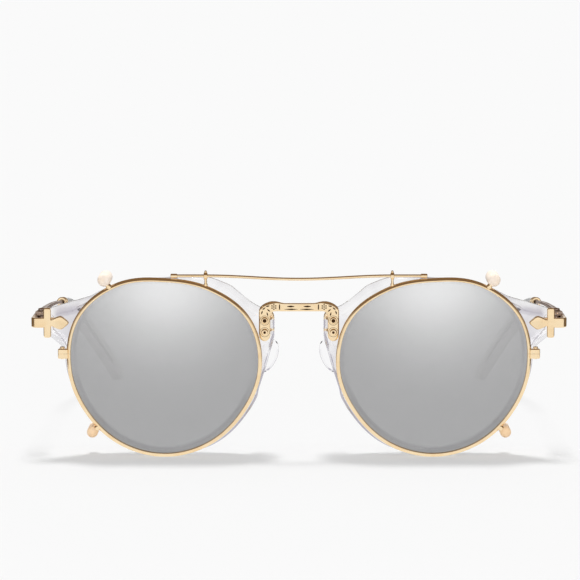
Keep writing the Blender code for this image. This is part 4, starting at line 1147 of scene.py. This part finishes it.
def makeArmBeads(side, sideName):
    # A row of small beads in the sunk band of each face
    bead = meshObject("bead", [])
    work = bmesh.new()
    bmesh.ops.create_icosphere(work, subdivisions=2, radius=1.0)
    work.to_mesh(bead.data)
    work.clear()
    start, end = arm["bandStart"] + arm["beadMargin"], arm["bandEnd"] - arm["beadMargin"]
    shares = [start + (end - start) * k / arm["steps"] for k in range(arm["steps"] + 1)]
    for face in (-1, 1):
        points = [armSpot(side, share) + sideways * (face * (armHalf(share) - arm["recess"] - arm["beadLift"]))
                  for share in shares]
        row = grow("beads", points, beadRow, {"pitch": arm["beadPitch"], "size": arm["beadRadius"], "seed": 4,
                                              "bead": bead, "spread": arm["beadSpread"], "material": aged})
        work.from_mesh(row.data)
        bpy.data.objects.remove(row)
    bpy.data.objects.remove(bead)
    beads = meshObject(sideName + "ArmBeads", [])
    work.to_mesh(beads.data)
    work.free()
    beads.data.shade_smooth()
    dress(beads, sideName + "_temple", aged)


ferrule = {"length": 0.0050, "radius": 0.00120, "lip": 0.00024, "fit": 0.00018, "chamfer": 0.0001,
           "ringHalf": 0.00012, "ringDepth": 0.00008}


def makeFerrule(side, sideName):
    # A sleeve with a round lip at each end and three turned lines
    along = armEndDirection(side)
    radius, lip, length, chamfer = pick(ferrule, "radius lip length chamfer")
    wall = arm["endHeight"] / 2 + ferrule["fit"]
    first, last = ([(radius + lip * c, at + lip * s) for c, s in arc(8, -quarter, math.pi)]
                   for at in (lip, length - lip))
    profile = [(wall, chamfer), (wall + chamfer, 0.0), (radius - chamfer, 0.0)] + first
    for k in (1, 2, 3):
        middle = 2 * lip + (length - 4 * lip) * k / 4
        profile += [(radius, middle - ferrule["ringHalf"]), (radius - ferrule["ringDepth"], middle),
                    (radius, middle + ferrule["ringHalf"])]
    profile += last + [(radius - chamfer, length), (wall + chamfer, length), (wall, length - chamfer)]
    tube = lathe(sideName + "Ferrule", profile, armSpot(side, 1.0) - along * (length / 2), along, ring=True)
    dress(tube, sideName + "_temple", gold, sideName + "_ferrule")


tip = {"startRadius": 0.0012, "halfHeight": 0.0030, "halfThickness": 0.0016, "inwards": 0.0132,
       "endDepth": 0.1295, "sink": 0.0008, "frontHandle": 0.0160, "backHandle": 0.0250, "backSlope": 0.81,
       "backInset": 0.25, "steps": 56, "thickening": 0.32, "endRound": 0.0030, "endTurn": quarter / 1.0375,
       "seat": 0.0003, "sides": 36}


def tipRoute(side):
    along = armEndDirection(side)
    start = armSpot(side, 1.0) + along * (ferrule["length"] / 2 + tip["seat"])
    end = flatSpot(side, armEndX - tip["inwards"], -tip["sink"], tip["endDepth"])
    final = Vector((-side * tip["backInset"], 1.0, -tip["backSlope"])).normalized()
    return interpolate_bezier(start, start + along * tip["frontHandle"], end - final * tip["backHandle"], end,
                              tip["steps"] + 1)


def tipSize(share):
    start, grown = tip["startRadius"], ease(share / tip["thickening"])
    return start + (tip["halfThickness"] - start) * grown, start + (tip["halfHeight"] - start) * grown


def makeTip(side, sideName):
    # Oval sections along the route with a rounded end, flat where they would go below the table
    route = tipRoute(side)
    final = (route[-1] - route[-2]).normalized()
    last = route[-1] - final * tip["endRound"]
    rows = [(point, *tipSize(i / tip["steps"])) for i, point in enumerate(route)
            if (point - last).dot(final) < 0]
    wide, tall = tipSize(1.0)
    rows += [(last + final * (tip["endRound"] * s), wide * c, tall * c) for c, s in arc(8, turn=tip["endTurn"])]
    loops = []
    for i, (point, wide, tall) in enumerate(rows):
        ahead = rows[min(i + 1, len(rows) - 1)][0] - rows[max(i - 1, 0)][0]
        across, up = sectionAxes(ahead.normalized())
        for share in (1.0,) if i else (0.55, 0.85, 0.96, 1.0):
            loops.append([point + across * (wide * share * c) + up * (tall * share * s)
                          for c, s in arc(tip["sides"], turn=full)[:-1]])
    for point in sum(loops, []):
        point.z = max(point.z, 0.0)
    body = loftLoops(sideName + "Tip", loops, sharp=55)
    length = (route[-1].y - route[0].y) * tip["thickening"]
    # painted shade with some real tint, deeper in colour as the tip thickens
    mark(body, "thickTintAndShade", lambda p: min((p.y - route[0].y) / length, 1.0))
    dress(body, sideName + "_temple", tipAcetate, sideName + "_temple_tip")


coreWire = {"radius": 0.0005, "share": 0.84, "sides": 16, "spacing": 0.0006, "leadGap": 0.0002}


def makeCoreWire(side, sideName):
    route = tipRoute(side)[:int(coreWire["share"] * tip["steps"]) + 1]
    lead = (route[0] - route[1]).normalized() * (ferrule["length"] / 2 - coreWire["leadGap"])
    wire = bendWire(sideName + "CoreWire", [route[0] + lead] + route, coreWire, steel)
    dress(wire, sideName + "_temple", steel, sideName + "_core_wire")


# Stage

black, white = (0.0, 0.0, 0.0), (1.0, 1.0, 1.0)
studio = {"background": 0.956, "diffuse": 0.42, "through": 0.88, "throughTop": (0.40, 0.38, 0.45),
          "topRange": (0.35, 0.80), "dark": (0.20, 0.135, 0.085), "frontRange": (0.1, 0.75),
          "frontUp": (0.26, 0.58), "behindRange": (0.1, 0.6), "behindUp": (0.15, 0.35), "glow": 0.10,
          "glowUp": (0.0, 0.2)}


def makeWorld():
    # Bright low in front, dark overhead and behind where metal mirrors it, even for everything else
    world = bpy.data.worlds.new("studio")
    bpy.context.scene.world = world
    world.use_nodes = True
    board = Board(world.node_tree)
    ahead, up = (board.add("ShaderNodeSeparateXYZ", None, {0: board.add("ShaderNodeTexCoord")}, out=axis)
                 for axis in (1, 2))
    front = board.step(0 - ahead, *studio["frontRange"]) * (1 - board.step(up, *studio["frontUp"]))
    behind = board.step(ahead, *studio["behindRange"]) * (1 - board.step(up, *studio["behindUp"]))
    lit = board.maths("MAXIMUM", front, behind)
    bright = studio["background"] + studio["glow"] * board.step(up, *studio["glowUp"])
    for kind, plain in (("Diffuse", "diffuse"), ("Transmission", "through"), ("Camera", "background")):
        seen = board.ray(kind)
        bright = bright * (1 - seen) + seen * studio[plain]
        lit = board.maths("MAXIMUM", lit, seen)
    refracted = board.ray("Transmission") * board.step(up, *studio["topRange"])
    color = board.mixColor(refracted, board.mixColor(lit, studio["dark"], white), studio["throughTop"])
    board.fill(world.node_tree.nodes["Background"], {"Color": color, "Strength": bright})


table = {"size": 12.0, "color": 0.41, "farColor": 0.10, "fade": (-0.060, -0.042), "received": 1.26}


def makeTable():
    # Glows by as much as the lamps leave it short of the background, so that only shadows show
    size, color = table["size"], table["color"]
    floor = meshObject("table", [(-size, -size, 0), (size, -size, 0), (size, size, 0), (-size, size, 0)],
                       faces=[(0, 1, 2, 3)])
    paint = Finish("whiteTable", (color,) * 3, 0.9, 0.0, {"Specular IOR Level": 0.0, "Emission Strength": 1.0})
    mirrored = paint.ray("Glossy")
    seen = paint.maths("ADD", paint.ray("Camera") + mirrored, paint.ray("Transmission"), True)
    far = paint.step(paint.place(1), *table["fade"])
    share = (color - far * (color - table["farColor"])) * (1 - mirrored)
    glow = seen * (studio["background"] - share * table["received"])
    floor.data.materials.append(paint.cover({"Base Color": paint.mixColor(share, black, white),
                                             "Emission Color": paint.mixColor(glow, black, white)}))


sideCard = {"at": 0.16, "front": -0.10, "back": 0.30, "top": 0.30, "color": (0.17, 0.125, 0.085),
            "through": (0.50, 0.48, 0.54)}


def makeSideCards():
    # Dark boards beside the object, which only metal and clear plastic show
    front, back, top = pick(sideCard, "front back top")
    for side in (-1, 1):
        x = side * sideCard["at"]
        card = meshObject("sideCard", [(x, front, 0.0), (x, back, 0.0), (x, back, top), (x, front, top)],
                          faces=[(0, 1, 2, 3)])
        paint = Finish("darkCard", black, 0.9, 0.0, {"Specular IOR Level": 0.0, "Emission Strength": 1.0})
        seen = paint.mixColor(paint.ray("Transmission"), sideCard["color"], sideCard["through"])
        card.data.materials.append(paint.cover({"Emission Color": seen}))
        card.visible_camera = card.visible_diffuse = card.visible_shadow = False


suns = {"softSun": {"energy": 2.5, "size": 11, "tilt": 15},
        "frontSun": {"energy": 1.2, "size": 40, "tilt": -80}}


def makeSun(name, energy, size, tilt):
    # Tilt 0 is overhead; above 0 it stands behind the object, below 0 in front
    light = bpy.data.lights.new(name, "SUN")
    light.energy = energy
    light.angle = math.radians(size)
    lamp = newObject(name, light)
    lamp.rotation_euler = (-math.radians(tilt), 0.0, 0.0)
    lamp.visible_glossy = False


photo = {"size": 580, "focalPixels": 2637, "middlePixel": 299, "sensor": 36.0, "distance": 0.700,
         "height": 0.135, "pitch": math.radians(7.34)}


def makeCamera():
    camera = bpy.data.cameras.new("camera")
    camera.sensor_width = photo["sensor"]
    camera.lens = photo["sensor"] * photo["focalPixels"] / photo["size"]
    camera.shift_x = 0.5 - photo["middlePixel"] / photo["size"]
    camera.clip_start = 0.01
    item = newObject("camera", camera)
    item.location = (0.0, frontY - photo["distance"], photo["height"])
    item.rotation_euler = (quarter - photo["pitch"], 0.0, 0.0)
    bpy.context.scene.camera = item


makeCamera()
makeWorld()
makeTable()
makeSideCards()
for name, sizes in suns.items():
    makeSun(name, **sizes)
print("stage ready")

gold, aged = makeMetal("polishedGold", goldLook), makeMetal("agedGold", agedLook)
acetate = makeAcetate("clearAcetate", "color", "thickTintAndShade", "bending")
padAcetate = makeAcetate("clearPadAcetate", "color", "color", "padBending")
tipAcetate = makeAcetate("clearTipAcetate", "tipColor", "tipTintAndShade", "bending")
clear, mirror = makeClearLens(), makeMirror("silverMirror", mirrorLook)
soft, steel = makeSleeveMaterial("softSleeve", sleeveLook), makeSteel()
print("materials ready")

for sideName, side in sides.items():
    for make in (makeClipRim, makeClipLens, makeLockScrew, makeBarPost):
        make(side, sideName)
    for level in ("upper", "lower"):
        makeHook(side, sideName, level)
    print(sideName, "clip-on pieces ready")
    for make in (makeEyeRim, makeOpticalLens, makeNosePad, makeBridgeFasteners, makeEndPiece, makeHingeScrew,
                 makePlatePins):
        make(side, sideName)
    print(sideName, "front pieces ready")
    for make in (makeArm, makeFerrule, makeTip, makeCoreWire):
        make(side, sideName)
    print(sideName, "temple ready")
makeBrowBar()
makeBridge()
print("bridge and brow bar ready")

bpy.context.scene.view_settings.view_transform = "Standard"
